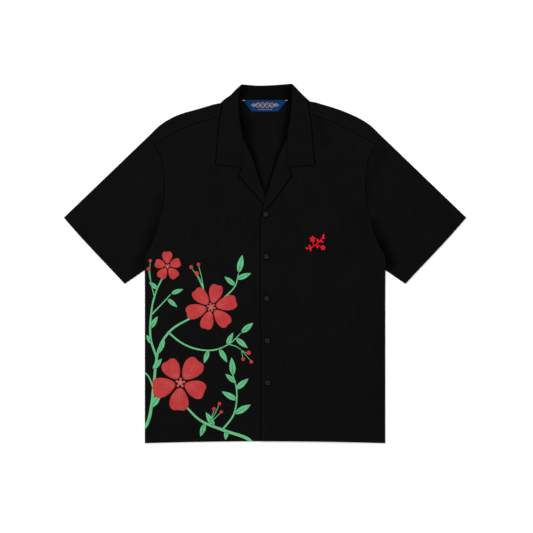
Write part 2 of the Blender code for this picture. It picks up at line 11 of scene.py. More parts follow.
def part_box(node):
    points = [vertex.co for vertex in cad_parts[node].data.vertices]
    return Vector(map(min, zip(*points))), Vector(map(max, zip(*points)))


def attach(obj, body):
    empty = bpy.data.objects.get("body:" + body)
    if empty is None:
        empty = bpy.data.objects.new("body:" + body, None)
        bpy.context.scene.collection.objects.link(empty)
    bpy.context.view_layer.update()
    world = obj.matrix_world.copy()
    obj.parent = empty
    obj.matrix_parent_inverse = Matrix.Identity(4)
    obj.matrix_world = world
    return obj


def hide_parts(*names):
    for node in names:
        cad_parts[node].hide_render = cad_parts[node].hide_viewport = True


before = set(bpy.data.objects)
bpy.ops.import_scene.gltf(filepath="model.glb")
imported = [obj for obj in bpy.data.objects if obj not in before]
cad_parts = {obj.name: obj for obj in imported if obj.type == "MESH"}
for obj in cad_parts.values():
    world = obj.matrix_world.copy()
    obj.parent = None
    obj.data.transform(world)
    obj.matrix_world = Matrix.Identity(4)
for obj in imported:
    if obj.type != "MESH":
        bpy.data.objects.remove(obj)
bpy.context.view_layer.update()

# A camp collar shirt laid flat. Tables are in millimetres, +X to the wearer's left and +Y to the collar.
# "out" is the distance from the centre line, so one table serves both halves.
mm = 0.001
sides = {"right": -1, "left": 1}
up = np.array([0.0, 0.0, 1.0])

layers = {
    "wall": 0.7,  # panels, drawn thinner than the solids that they stand for
    "lapelWall": 1.0,
    "collarWall": 1.1,
    "labelWall": 0.45,
    "solidWall": 1.2,
    "lie": 0.5,  # the middle of a panel that lies on the surface
    "pitch": 1.5,  # from one layer's middle to the next
    "rim": 0.14,  # how far the cut edges are rounded
}
edgePlaces = np.array([0, 0.5, 1.2, 2.2, 3.6, 5.5, 8])  # finer cells beside seams and edges
hem = {"deep": 25, "sunk": 0.2, "row": 0.8}  # how deep it is, and how its row of stitches sinks in
hemPlaces = np.array([0, 0.5, 1.3, 2.6, 4.5, 7.5, 11, 15, 19, 22, 23.4, 24.3, 24.9, 25.5, 26.3, 27.5, 30, 34])


# Lines and grids

def ramp(value, start, end):
    t = np.clip((np.asarray(value, float) - start) / (end - start), 0, 1)
    return t * t * (3 - 2 * t)


def bell(value, middle, width):
    return np.exp(-(((np.asarray(value, float) - middle) / width) ** 2))


def leaned(points):  # the neck lies a little to the wearer's left, and that shoulder a little higher
    x, y = points[..., 0], points[..., 1]
    neck = ramp(y, 358, 394) * (1 - ramp(abs(x), 60, 100))
    shoulder = ramp(y, 290, 320) * ramp(abs(x), 50, 95) * (1 - ramp(abs(x), 145, 200))
    moved = np.array(points, float)
    moved[..., 0] = x + 3.4 * neck
    moved[..., 1] = y + np.sign(x) * (1.9 * shoulder + 0.7 * neck) * np.minimum(1, abs(x) / 20)
    return moved


def smoothLine(points, dense=12):  # Catmull-Rom through the points
    p = np.array(points, float)
    p = np.vstack([2 * p[0] - p[1], p, 2 * p[-1] - p[-2]])
    t = np.arange(dense)[:, None] / dense
    rows = []
    for a, b, c, d in zip(p, p[1:], p[2:], p[3:]):
        square, cube = 2 * a - 5 * b + 4 * c - d, 3 * b - a - 3 * c + d
        rows.append(0.5 * (2 * b + (c - a) * t + square * t**2 + cube * t**3))
    return np.vstack([*rows, p[-2:-1]])


def travelled(line):
    return np.concatenate([[0], np.cumsum(np.linalg.norm(np.diff(line[:, :2], axis=0), axis=1))])


def atLengths(line, where):
    along = travelled(line)
    return np.stack([np.interp(where, along, line[:, k]) for k in range(line.shape[1])], -1)


def evenLine(line, count):
    return atLengths(line, np.linspace(0, travelled(line)[-1], count))


def joined(*lines):
    return np.vstack([lines[0], *[line[1:] for line in lines[1:]]])


def placed(spots, sign):
    return np.array([[sign * out, y, high] for out, y, high in spots], float)


def places(length, count, first=(0,), last=(0,)):  # distances along an edge, as fine at its ends as given
    first, last = np.array(first, float), np.array(last, float)
    middle = np.linspace(first[-1], length - last[-1], count + 1)
    return np.concatenate([first[:-1], middle, length - last[-2::-1]])


def coons(start, end, first, last, rows, columns):  # a grid between four edge lines
    v, u = rows[:, None, None], columns[None, :, None]
    across = start[:, None] * (1 - u) + end[:, None] * u
    along = first[None] * (1 - v) + last[None] * v
    corners = (first[0] * (1 - u) + first[-1] * u) * (1 - v) + (last[0] * (1 - u) + last[-1] * u) * v
    return across + along - corners


def flat(x, y):  # points at height 0
    return np.stack([x, y, 0 * x], -1)


def leftOf(line):  # unit steps to the left of a flat line
    way = np.gradient(line, axis=0)
    way /= np.maximum(1e-6, np.linalg.norm(way, axis=1))[:, None]
    return np.stack([-way[:, 1], way[:, 0]], -1)


def turnedShape(points, x, y, degrees, scale=1.0):
    c, s = math.cos(math.radians(degrees)), math.sin(math.radians(degrees))
    p = np.array(points) * scale
    return np.stack([x + p[:, 0] * c - p[:, 1] * s, y + p[:, 0] * s + p[:, 1] * c], -1)


def edgeDistance(grid):  # along each row, from its last point
    step = np.linalg.norm(np.diff(grid[:, ::-1], axis=1), axis=2)
    return np.concatenate([np.zeros((len(grid), 1)), np.cumsum(step, axis=1)], 1)[:, ::-1]


def bezier(a, b, c, d, steps):
    t = np.linspace(0, 1, steps, endpoint=False)[:, None]
    return a * (1 - t) ** 3 + 3 * b * t * (1 - t) ** 2 + 3 * c * t**2 * (1 - t) + d * t**3


def unit(vector):
    return vector / max(1e-9, np.linalg.norm(vector))


def rolledSection(seam, roll, edge, face, bend, turn, steps):  # from its seam, round its roll, to its edge
    free = edge - roll
    above = -unit(free - face * free.dot(face))
    centre = roll - bend * (face * math.cos(turn / 2) + above * math.sin(turn / 2))
    angle = np.linspace(turn, 0, steps[1] + 1)[:, None]
    arc = centre + bend * (face * np.cos(angle) + above * np.sin(angle))
    inward = face * math.sin(turn) - above * math.cos(turn)
    if np.ndim(seam) == 0:  # the length of a straight leg
        seam = arc[0] - inward * seam
    leg = np.linalg.norm(arc[0] - seam) / 3
    side = np.linalg.norm(edge - arc[-1]) / 3
    line = bezier(seam, seam + (arc[0] - seam) * 0.33, arc[0] - inward * leg, arc[0], steps[0])
    free = bezier(arc[-1], arc[-1] - above * side, edge + above * side, edge, 3 * steps[2])
    free = np.vstack([free, edge])
    gone = np.concatenate([[0], np.cumsum(np.linalg.norm(np.diff(free, axis=0), axis=1))])
    fine = edgePlaces * min(1, gone[-1] / 24)
    where = np.concatenate([np.linspace(0, gone[-1] - fine[-1], steps[2] - 5), gone[-1] - fine[-2::-1]])
    free = np.stack([np.interp(where, gone, free[:, k]) for k in range(3)], -1)
    return np.vstack([line, arc[:-1], free])


# Heights

def treeOf(points, quads):
    return BVHTree.FromPolygons([tuple(p) for p in points], quads)


def gridQuads(rows, columns, closed=False, first=0):
    quads = []
    for j in range(rows - 1):
        for i in range(columns if closed else columns - 1):
            k = (i + 1) % columns
            a, b = first + j * columns, first + (j + 1) * columns
            quads.append((a + i, a + k, b + k, b + i))
    return quads


def layerTree(grid, closed=False):
    return treeOf(grid.reshape(-1, 3), gridQuads(grid.shape[0], grid.shape[1], closed))


def solidTree(name):
    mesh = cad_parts[name].data
    return treeOf([v.co / mm for v in mesh.vertices], [tuple(p.vertices) for p in mesh.polygons])


def heightOn(trees, points, reach=0, below=False):  # nan where nothing lies there
    way = 1 if below else -1
    probes = [(0, 0)] + ([(reach, 0), (-reach, 0), (0, reach), (0, -reach)] if reach else [])
    spots = points.reshape(-1, points.shape[-1])
    found = np.full(len(spots), np.nan)
    for n, p in enumerate(spots):
        for dx, dy in probes:
            for tree in trees:
                hit = tree.ray_cast(Vector((p[0] + dx, p[1] + dy, -way * 60)), Vector((0, 0, way)))[0]
                if hit is not None and not way * hit.z > way * found[n]:
                    found[n] = hit.z
    return found.reshape(points.shape[:-1])


def fillHoles(heights):
    z = heights.copy()
    while np.isnan(z).any():
        padded = np.pad(z, 1, constant_values=np.nan)
        near = np.stack([padded[:-2, 1:-1], padded[2:, 1:-1], padded[1:-1, :-2], padded[1:-1, 2:]])
        known = ~np.isnan(near)
        mean = np.where(known, near, 0).sum(0) / np.maximum(1, known.sum(0))
        z = np.where(np.isnan(z) & known.any(0), mean, z)
    return z


def softened(z, passes, across=True):
    for _ in range(passes):
        p = np.pad(z, ((1, 1), (0, 0)), mode="edge")
        z = 0.5 * z + 0.25 * (p[:-2] + p[2:])
        if across:
            p = np.pad(z, ((0, 0), (1, 1)), mode="edge")
            z = 0.5 * z + 0.25 * (p[:, :-2] + p[:, 2:])
    return z


def evenOut(z, rowAt, columnAt, pitch, passes):  # softens a grid of uneven cells on one of even cells
    rows = np.linspace(rowAt[0], rowAt[-1], round((rowAt[-1] - rowAt[0]) / pitch) + 1)
    columns = np.linspace(columnAt[0], columnAt[-1], round((columnAt[-1] - columnAt[0]) / pitch) + 1)
    coarse = np.stack([np.interp(rows, rowAt, z[:, i]) for i in range(z.shape[1])], 1)
    coarse = np.stack([np.interp(columns, columnAt, row) for row in coarse])
    coarse = softened(coarse, passes)
    fine = np.stack([np.interp(columnAt, columns, row) for row in coarse])
    return np.stack([np.interp(rowAt, rows, fine[:, i]) for i in range(fine.shape[1])], 1)


def solidHeights(name, grid):  # the middle of that panel's solid
    z = heightOn([solidTree(name)], leaned(grid)[..., :2])
    rows, columns = z.shape
    z = z[np.clip(np.arange(rows), 2, rows - 3)][:, np.clip(np.arange(columns), 2, columns - 3)]
    return fillHoles(z) - layers["solidWall"] / 2


# Creases: a soft trough along a line, with a ridge beside it, as uneven as cloth that was smoothed by hand

def offLine(grid, line):  # how far each point is to the side of a line, and how far along it
    x, y = grid[..., 0], grid[..., 1]
    best = np.full(x.shape, 1e9)
    offset, share = np.zeros_like(x), np.zeros_like(x)
    for k, (a, b) in enumerate(zip(line, line[1:])):
        d = b - a
        t = np.clip(((x - a[0]) * d[0] + (y - a[1]) * d[1]) / d.dot(d), 0, 1)
        dx, dy = x - a[0] - t * d[0], y - a[1] - t * d[1]
        apart = np.hypot(dx, dy)
        near = apart < best
        best = np.where(near, apart, best)
        offset = np.where(near, np.copysign(apart, d[0] * dy - d[1] * dx), offset)
        share = np.where(near, (k + t) / (len(line) - 1), share)
    return offset, share


def creased(grid, creases):
    z = np.zeros(grid.shape[:2])
    for n, (path, width, depth, ridge) in enumerate(creases):
        offset, share = offLine(grid, evenLine(smoothLine(path), 9))
        swing = 1 + 0.3 * np.sin(9.0 * share + 1.7 * n) + 0.15 * np.sin(23 * share + n)
        wide = width * (0.75 + 0.5 * share)
        fade = ramp(share, 0, 0.3) * ramp(share, 1, 0.6)
        z += fade * swing * (ridge * bell(offset, 1.5 * wide, wide) - depth * bell(offset, 0, wide))
    return z


def seamRidge(distance, high, deep, at=3.4, wide=2.4, narrow=1.2):  # raised beside a seam, and sunk into it
    return high * bell(distance, at, wide) - deep * bell(distance, 0, narrow)


def hemRidge(distance, high, edge):  # the doubled cloth of a hem, its row of stitches and its rounded edge
    deep, row = hem["deep"], hem["row"]
    doubled = high * (1 - ramp(distance, deep - 1.5, deep + 1))
    return doubled - hem["sunk"] * bell(distance, deep, row) - edge * bell(distance, 0, row)


def edgeShade(distance, dark):  # a painted shade line along an edge
    return 1 - dark * bell(distance, 0, 1.25)


def outlineShade(grid, line):  # the same painted shade line along a fold
    return edgeShade(offLine(grid, line)[0], 0.85)


def paintedHighlightLine(distance):  # a painted highlight: the paler line a little way in from an edge
    return bell(distance, 3.4, 1.5)


# Meshes

def linked(name, data):
    made = bpy.data.objects.new(name, data)
    bpy.context.scene.collection.objects.link(made)
    return made


def addObject(name, mesh, finish):
    mesh.materials.append(finish)
    return linked(name, mesh)


def meshOf(name, shape):  # closes a bmesh
    mesh = bpy.data.meshes.new(name)
    shape.to_mesh(mesh)
    shape.free()
    return mesh


def evaluated(made):
    return bpy.data.meshes.new_from_object(made.evaluated_get(bpy.context.evaluated_depsgraph_get()))


def pointValues(mesh, label, values):
    mesh.attributes.new(label, "FLOAT", "POINT").data.foreach_set("value", values)


def sheetMesh(name, grids):  # each grid has points, uv, and painted shade and painted highlight values where it has them
    points, quads, corners, shades, paintedLights = [], [], [], [], []
    for grid in grids:
        spots, uv, closed = grid["points"], grid["uv"] * mm, grid.get("closed", False)
        rows, columns = spots.shape[:2]
        quads += gridQuads(rows, columns, closed, sum(len(p) for p in points))
        for j in range(rows - 1):
            for i in range(columns if closed else columns - 1):
                corners += [uv[j, i], uv[j, i + 1], uv[j + 1, i + 1], uv[j + 1, i]]
        points.append(leaned(spots).reshape(-1, 3) * mm)
        shades.append(np.broadcast_to(grid.get("shade", 1.0), (rows, columns)).reshape(-1))
        paintedLights.append(np.broadcast_to(grid.get("paintedLight", 0.0), (rows, columns)).reshape(-1))
    mesh = bpy.data.meshes.new(name)
    mesh.from_pydata(np.vstack(points).tolist(), [], quads)
    mesh.uv_layers.new(name="UVMap").data.foreach_set("uv", np.array(corners, float).ravel())
    pointValues(mesh, "shade", np.concatenate(shades))
    pointValues(mesh, "paintedLight", np.concatenate(paintedLights))
    shape = bmesh.new()
    shape.from_mesh(mesh)
    bmesh.ops.remove_doubles(shape, verts=shape.verts, dist=0.02 * mm)
    bmesh.ops.recalc_face_normals(shape, faces=shape.faces)
    shape.to_mesh(mesh)
    shape.free()
    mesh.shade_smooth()
    return mesh


def clothPiece(name, grids, wall, finish):  # a thin shell with rounded edges
    piece = addObject(name, sheetMesh(name, grids), finish)
    thicken = piece.modifiers.new("Wall", "SOLIDIFY")
    thicken.thickness = wall * mm
    thicken.offset = 0
    thicken.use_quality_normals = True
    soften = piece.modifiers.new("Edges", "BEVEL")
    soften.width = layers["rim"] * mm
    soften.segments = 2
    soften.limit_method = "ANGLE"
    soften.angle_limit = math.radians(50)
    return piece


def flatUv(grid):
    return grid[..., :2].copy()


def runUv(grid, closed=False):  # lengths along the rows and the columns, for cloth that turns over
    across = np.concatenate([grid, grid[:, :1]], 1) if closed else grid
    u = np.cumsum(np.linalg.norm(np.diff(across, axis=1), axis=2), axis=1)
    u = np.concatenate([np.zeros((len(u), 1)), u], 1)
    v = np.cumsum(np.linalg.norm(np.diff(across, axis=0), axis=2), axis=0)
    v = np.concatenate([np.zeros((1, v.shape[1])), v], 0)
    return np.stack([np.broadcast_to(u.mean(0), u.shape), v], -1)


def polygonMesh(name, outlines, cell, extra, lift):  # flat shapes laid on a panel, cut to follow it
    shape = bmesh.new()
    for outline in outlines:
        spots = [shape.verts.new((x, y, 0)) for x, y in outline]
        for a, b, c in tessellate_polygon([[Vector((x, y, 0)) for x, y in outline]]):
            shape.faces.new((spots[a], spots[b], spots[c]))
    low = np.min([np.min(o, axis=0) for o in outlines], axis=0)
    high = np.max([np.max(o, axis=0) for o in outlines], axis=0)
    cuts = [(axis, at, False) for axis in (0, 1) for at in np.arange(low[axis] + cell, high[axis], cell)]
    for axis, at, trim in [*cuts, *extra]:
        place, way = Vector((0, 0, 0)), Vector((0, 0, 0))
        place[axis], way[axis] = at, 1
        geom = list(shape.verts) + list(shape.edges) + list(shape.faces)
        bmesh.ops.bisect_plane(shape, geom=geom, plane_co=place, plane_no=way, dist=0.001, clear_inner=trim)
    points = np.array([v.co[:] for v in shape.verts])
    points[:, 2] = fillLine(clothTop("front_right", points)) + lift
    for v, p in zip(shape.verts, leaned(points)):
        v.co = p * mm
    bmesh.ops.recalc_face_normals(shape, faces=shape.faces)
    if sum(f.normal.z for f in shape.faces) < 0:
        bmesh.ops.reverse_faces(shape, faces=shape.faces)
    mesh = meshOf(name, shape)
    uv = mesh.uv_layers.new(name="UVMap").data
    for loop in mesh.loops:
        uv[loop.index].uv = mesh.vertices[loop.vertex_index].co[:2]
    mesh.shade_smooth()
    return mesh


def fillLine(z):
    return np.where(np.isnan(z), np.nanmedian(z), z)


def pathMesh(name, paths):  # open lines for the stitch trees to follow
    points, edges = [], []
    for path in paths:
        first = len(points)
        points += [tuple(p * mm) for p in leaned(np.array(path))]
        edges += [(first + k, first + k + 1) for k in range(len(path) - 1)]
    mesh = bpy.data.meshes.new(name)
    mesh.from_pydata(points, edges, [])
    return mesh


# Nodes

def feed(tree, node, values):  # sets or links inputs, by name or number
    for key, value in values.items():
        slot, value = node.inputs[key], getattr(value, "socket", value)
        if isinstance(value, bpy.types.NodeSocket):
            tree.links.new(value, slot)
        else:
            slot.default_value = (*value, 1) if slot.type == "RGBA" and len(value) == 3 else value


def addNode(tree, kind, values, **settings):
    node = tree.nodes.new(kind)
    for key, value in settings.items():
        setattr(node, key, value)
    feed(tree, node, values)
    return node


def newGroup(name, kind, inputs, outputs):
    tree = bpy.data.node_groups.new(name, kind)
    for way, sockets in (("INPUT", inputs), ("OUTPUT", outputs)):
        for label, form, *start in sockets:
            made = tree.interface.new_socket(name=label, in_out=way, socket_type="NodeSocket" + form)
            if start:
                made.default_value = start[0]
    return tree, tree.nodes.new("NodeGroupInput").outputs, tree.nodes.new("NodeGroupOutput")


class Signal:  # a value in a shader tree, for sums
    def __init__(self, tree, socket):
        self.tree, self.socket = tree, socket

    def put(self, operation, *values):
        node = addNode(self.tree, "ShaderNodeMath", dict(enumerate(values)), operation=operation)
        return Signal(self.tree, node.outputs[0])

    def __add__(self, other):
        return self.put("ADD", self, other)

    def __sub__(self, other):
        return self.put("SUBTRACT", self, other)

    def __rsub__(self, other):
        return self.put("SUBTRACT", other, self)

    def __mul__(self, other):
        return self.put("MULTIPLY", self, other)

    def __truediv__(self, other):
        return self.put("DIVIDE", self, other)

    def __rtruediv__(self, other):
        return self.put("DIVIDE", other, self)

    def __pow__(self, other):
        return self.put("POWER", self, other)

    def __lt__(self, other):
        return self.put("LESS_THAN", self, other)

    def __abs__(self):
        return self.put("ABSOLUTE", self)

    def least(self, other):
        return self.put("MINIMUM", self, other)

    def most(self, other):
        return self.put("MAXIMUM", self, other)

    def wave(self):
        return self.put("SINE", self)

    def split(self):
        parts = addNode(self.tree, "ShaderNodeSeparateXYZ", {0: self}).outputs
        return Signal(self.tree, parts["X"]), Signal(self.tree, parts["Y"])

    def scaled(self, amount):
        node = addNode(self.tree, "ShaderNodeVectorMath", {0: self, "Scale": amount}, operation="SCALE")
        return Signal(self.tree, node.outputs["Vector"])

    def noise(self, scale, detail=2.0, rough=0.5):
        values = {"Scale": scale, "Detail": detail, "Roughness": rough, "Vector": self}
        return Signal(self.tree, addNode(self.tree, "ShaderNodeTexNoise", values).outputs["Fac"])

    def mix(self, a, b):
        node = addNode(self.tree, "ShaderNodeMix", {"Factor": self, 6: a, 7: b}, data_type="RGBA")
        return Signal(self.tree, node.outputs[2])


def signals(tree, given, *labels):
    return [Signal(tree, given[label]) for label in labels]


def attribute(tree, label):
    node = addNode(tree, "ShaderNodeAttribute", {}, attribute_name=label)
    return Signal(tree, node.outputs["Fac"])


def clothMap(tree):
    return Signal(tree, addNode(tree, "ShaderNodeUVMap", {}, uv_map="UVMap").outputs["UV"])


def objectPlace(tree):
    return Signal(tree, tree.nodes.new("ShaderNodeTexCoord").outputs["Object"])


# Stitches: one tree sets a row of stitches along lines, the other lays single threads

def stitchTree():
    tree, given, end = newGroup("stitch row", "GeometryNodeTree", [
        ("Geometry", "Geometry"), ("Pitch", "Float"), ("Length", "Float"), ("Thread", "Float"),
        ("Sway", "Float"), ("Material", "Material")], [("Geometry", "Geometry")])
    curve = addNode(tree, "GeometryNodeMeshToCurve", {"Mesh": given["Geometry"]})
    dots = addNode(tree, "GeometryNodeCurveToPoints", {"Curve": curve.outputs[0], "Length": given["Pitch"]},
                   mode="LENGTH")
    bead = addNode(tree, "GeometryNodeMeshUVSphere", {"Segments": 6, "Rings": 5, "Radius": 0.5})
    size = addNode(tree, "ShaderNodeCombineXYZ",
                   {"X": given["Length"], "Y": given["Thread"], "Z": given["Thread"]})
    shaped = addNode(tree, "GeometryNodeTransform",
                     {"Geometry": bead.outputs["Mesh"], "Scale": size.outputs[0]})
    aim = addNode(tree, "FunctionNodeAlignRotationToVector", {"Vector": dots.outputs["Tangent"]}, axis="X")
    sway = addNode(tree, "FunctionNodeRandomValue", {0: (-1, -1, -1), 1: (1, 1, 1), "Seed": 4},
                   data_type="FLOAT_VECTOR")  # no two stitches lie quite in line
    spread = addNode(tree, "ShaderNodeVectorMath", {0: sway.outputs[0], "Scale": given["Sway"]},
                     operation="SCALE")
    turned = addNode(tree, "FunctionNodeRotateRotation",
                     {"Rotation": aim.outputs["Rotation"], "Rotate By": spread.outputs["Vector"]},
                     rotation_space="LOCAL")
    stitch = addNode(tree, "GeometryNodeInstanceOnPoints",
                     {"Points": dots.outputs["Points"], "Instance": shaped.outputs[0],
                      "Rotation": turned.outputs[0]})
    return finishTree(tree, stitch.outputs["Instances"], given, end)


def threadTree():
    tree, given, end = newGroup("single threads", "GeometryNodeTree", [
        ("Geometry", "Geometry"), ("Thread", "Float"), ("Material", "Material")], [("Geometry", "Geometry")])
    curve = addNode(tree, "GeometryNodeMeshToCurve", {"Mesh": given["Geometry"]})
    half = addNode(tree, "ShaderNodeMath", {0: given["Thread"], 1: 0.5}, operation="MULTIPLY")
    ring = addNode(tree, "GeometryNodeCurvePrimitiveCircle", {"Resolution": 5, "Radius": half.outputs[0]})
    tube = addNode(tree, "GeometryNodeCurveToMesh", {
        "Curve": curve.outputs[0], "Profile Curve": ring.outputs["Curve"], "Fill Caps": True})
    return finishTree(tree, tube.outputs["Mesh"], given, end)


def finishTree(tree, made, given, end):
    real = addNode(tree, "GeometryNodeRealizeInstances", {"Geometry": made})
    dyed = addNode(tree, "GeometryNodeSetMaterial",
                   {"Geometry": real.outputs["Geometry"], "Material": given["Material"]})
    feed(tree, end, {"Geometry": dyed.outputs["Geometry"]})
    return tree


def sewn(name, paths, tree, sizes, finish):  # runs a tree along the lines and keeps the plain mesh
    guide = linked(name + "_guide", pathMesh(name, paths))
    run = guide.modifiers.new("Sewing", "NODES")
    run.node_group = tree
    values = {label: size if label == "Sway" else size * mm for label, size in sizes.items()}
    values["Material"] = finish
    for socket in tree.interface.items_tree:
        if socket.in_out == "INPUT" and socket.name in values:
            run[socket.identifier] = values[socket.name]
    mesh = evaluated(guide)
    guide.modifiers.clear()
    bpy.data.objects.remove(guide, do_unlink=True)
    mesh.name = name
    if not mesh.materials:
        mesh.materials.append(finish)
    mesh.shade_smooth()
    return linked(name, mesh)


def onTop(line, trees, lift, below=False):  # a flat line laid on what lies under it
    line = np.array(line, float)[:, :2]
    z = heightOn(trees, line, below=below)
    keep = ~np.isnan(z)
    return np.column_stack([line[keep], z[keep] + (-lift if below else lift)])


def insetLine(line, distance):  # the line moved to its left
    return np.array(line, float) + leftOf(np.array(line, float)) * distance


# Finishes

def twillGroup():  # diagonal ribs over the yarns, slubs and the faint grain of brushed cotton
    tree, given, end = newGroup("fine twill", "ShaderNodeTree", [
        ("Vector", "Vector"), ("Pitch", "Float", 0.0007), ("Grain", "Float", 0.15), ("Slub", "Float", 0.3)],
        [("Height", "Float"), ("Tone", "Float")])
    vector, pitch, grain, slub = signals(tree, given, "Vector", "Pitch", "Grain", "Slub")
    x, y = vector.split()
    turn = 2 * math.pi / pitch
    rib = (x * turn + y * turn + vector.noise(260, 1) * 3.0).wave()
    height = rib * 0.32 + ((y * turn * 2.0).wave() * 0.1 + vector.noise(420, 3, 0.7) * slub)
    node = addNode(tree, "ShaderNodeVectorMath", {0: vector, 1: (1, 0.16, 1)}, operation="MULTIPLY")
    stretched = Signal(tree, node.outputs["Vector"])
    cloudy = (vector.noise(16, 2) - 0.5) * 0.3 + ((stretched.noise(110, 3, 0.6) - 0.5) * 0.5
                                                  + (vector.noise(330, 4, 0.75) - 0.5))
    cloudy = rib * 0.16 + ((vector.noise(90, 3, 0.6) - 0.5) * 0.35 + cloudy)
    feed(tree, end, {"Height": height + 0.4, "Tone": (cloudy * grain + 1.0).most(0.1)})
    return tree


def paintedLightGroup():  # painted shade deep in folds and under edges, from the ambient occlusion node and the shade values, and a painted highlight line a little way inside edges
    tree, given, end = newGroup("painted shade and highlight", "ShaderNodeTree", [
        ("Color", "Color"), ("Tone", "Float", 1.0), ("Pale", "Float", 0.5), ("Contact", "Float", 1.0)],
        [("Color", "Color")])
    colour, tone, pale, contact = signals(tree, given, "Color", "Tone", "Pale", "Contact")
    nearby = addNode(tree, "ShaderNodeAmbientOcclusion", {"Distance": 0.0045}, samples=8)
    amount = attribute(tree, "shade") * tone * (attribute(tree, "paintedLight") * pale + 1.0)
    amount = amount * Signal(tree, nearby.outputs["AO"]) ** contact
    feed(tree, end, {"Color": colour.scaled(amount)})
    return tree


def newFinish(name, look):
    made = bpy.data.materials.new(name)
    made.use_nodes = True
    shader = made.node_tree.nodes["Principled BSDF"]
    feed(made.node_tree, shader, {"Roughness": look["roughness"], "Specular IOR Level": look["specular"]})
    return made, made.node_tree, shader


def painted(tree, shader, colour, height, depth):
    bump = addNode(tree, "ShaderNodeBump", {"Strength": 1.0, "Distance": depth, "Height": height})
    feed(tree, shader, {"Base Color": colour, "Normal": bump.outputs["Normal"]})


def twillOn(tree, values):
    twill = addNode(tree, "ShaderNodeGroup", {}, node_tree=groups["twill"])
    feed(tree, twill, {"Vector": clothMap(tree), **values})
    return twill.outputs


def clothFinish(name, look):
    made, tree, shader = newFinish(name, look)
    twill = twillOn(tree, {label: look[label.lower()] for label in ("Pitch", "Grain", "Slub")})
    # the next node paints shade from ambient occlusion and the shade values, and a highlight from the
    # highlight values, into the base colour
    fold = addNode(tree, "ShaderNodeGroup", {}, node_tree=groups["paintedLight"])
    feed(tree, fold, {"Color": look["colour"], "Tone": twill["Tone"], "Pale": look["pale"],
                      "Contact": look["contact"]})
    painted(tree, shader, fold.outputs["Color"], twill["Height"], look["depth"])
    return made


def inkFinish(name, look):  # a print keeps the weave that it lies on
    made, tree, shader = newFinish(name, look)
    twill = twillOn(tree, {"Grain": look["grain"]})
    amount = (clothMap(tree).noise(60, 3, 0.6) - 0.5) * 2.2 + 0.5
    colour = amount.mix(look["colour"], look["other"]).scaled(twill["Tone"])
    painted(tree, shader, colour, twill["Height"], look["depth"])
    return made


def threadFinish(name, look):
    made, tree, shader = newFinish(name, look)
    place = objectPlace(tree)
    dark = tuple(0.72 * c for c in look["colour"])
    painted(tree, shader, place.noise(1400).mix(dark, look["colour"]), place.noise(3000), 0.00004)
    return made


def buttonFinish(name, look):
    made, tree, shader = newFinish(name, look)
    place = objectPlace(tree)
    swirl = place.noise(320, 4, 0.6).mix(look["colour"], look["other"])
    scuff = place.noise(2400, 3) * 0.16 + (look["roughness"] - 0.08)
    # the shade values paint shade in the dish and a highlight on its ring
    feed(tree, shader, {"Base Color": swirl.scaled(attribute(tree, "shade")), "Roughness": scuff,
                        "Coat Weight": 0.0, "Coat Roughness": 0.08})
    return made


def labelFinish(name, look):  # woven satin with a thin border, a plait and a row of small diamonds
    made, tree, shader = newFinish(name, look)
    place = clothMap(tree)
    x, y = place.split()  # metres from the middle of the label
    tall, middle = look["tall"] * mm, (look["topHalf"] + look["footHalf"]) / 2 * mm
    fromSide = y * ((look["topHalf"] - look["footHalf"]) / look["tall"]) + middle - abs(x)
    inside = (fromSide * 0.82).least(tall / 2 - abs(y))
    border = abs(inside - look["borderIn"] * mm) < look["borderWide"] / 2 * mm
    taper = 1.0 - abs(x / (look["reach"] * mm)) ** 3.0
    narrow = (taper * 2.4).least(1.0)  # the strands run out to a point
    high = y - look["rise"] * mm
    turn = x * (2 * math.pi / (look["pitch"] * mm))
    strands = []
    for phase, height, thick in ((0.0, 1.0, 1.0), (math.pi, 1.0, 0.8), (math.pi / 2, 0.3, 0.55)):
        along = turn + phase
        swing = along.wave() * taper * (height * look["wave"] * mm)
        steep = abs(turn.put("COSINE", along))
        line = thick * look["line"] * mm
        strands.append(abs(high - swing) < (steep * (0.8 * height * line) + line / 2) * narrow)
    plait = strands[0].most(strands[1]).most(strands[2])
    plait = plait * turn.put("GREATER_THAN", taper, 0.0)
    aside = x.put("PINGPONG", x, look["dotPitch"] * mm / 2)
    dots = aside + abs(y - look["dotsY"] * mm) < look["dot"] * mm
    mark = plait.most(dots * (abs(x) < look["dotsReach"] * mm))
    satin = place.noise(90, 3).mix(look["colour"], look["other"])
    satin = border.mix(satin, tuple(0.45 * c for c in look["colour"]))
    # the shade values paint the collar's shadow on it
    colour = mark.mix(satin, look["gold"]).scaled(attribute(tree, "shade"))
    ribs, picks = (y * (2 * math.pi / 0.0005)).wave(), (x * (2 * math.pi / 0.0009)).wave()
    painted(tree, shader, colour, ribs * 0.3 + (picks * 0.2 + mark), look["depth"])
    return made


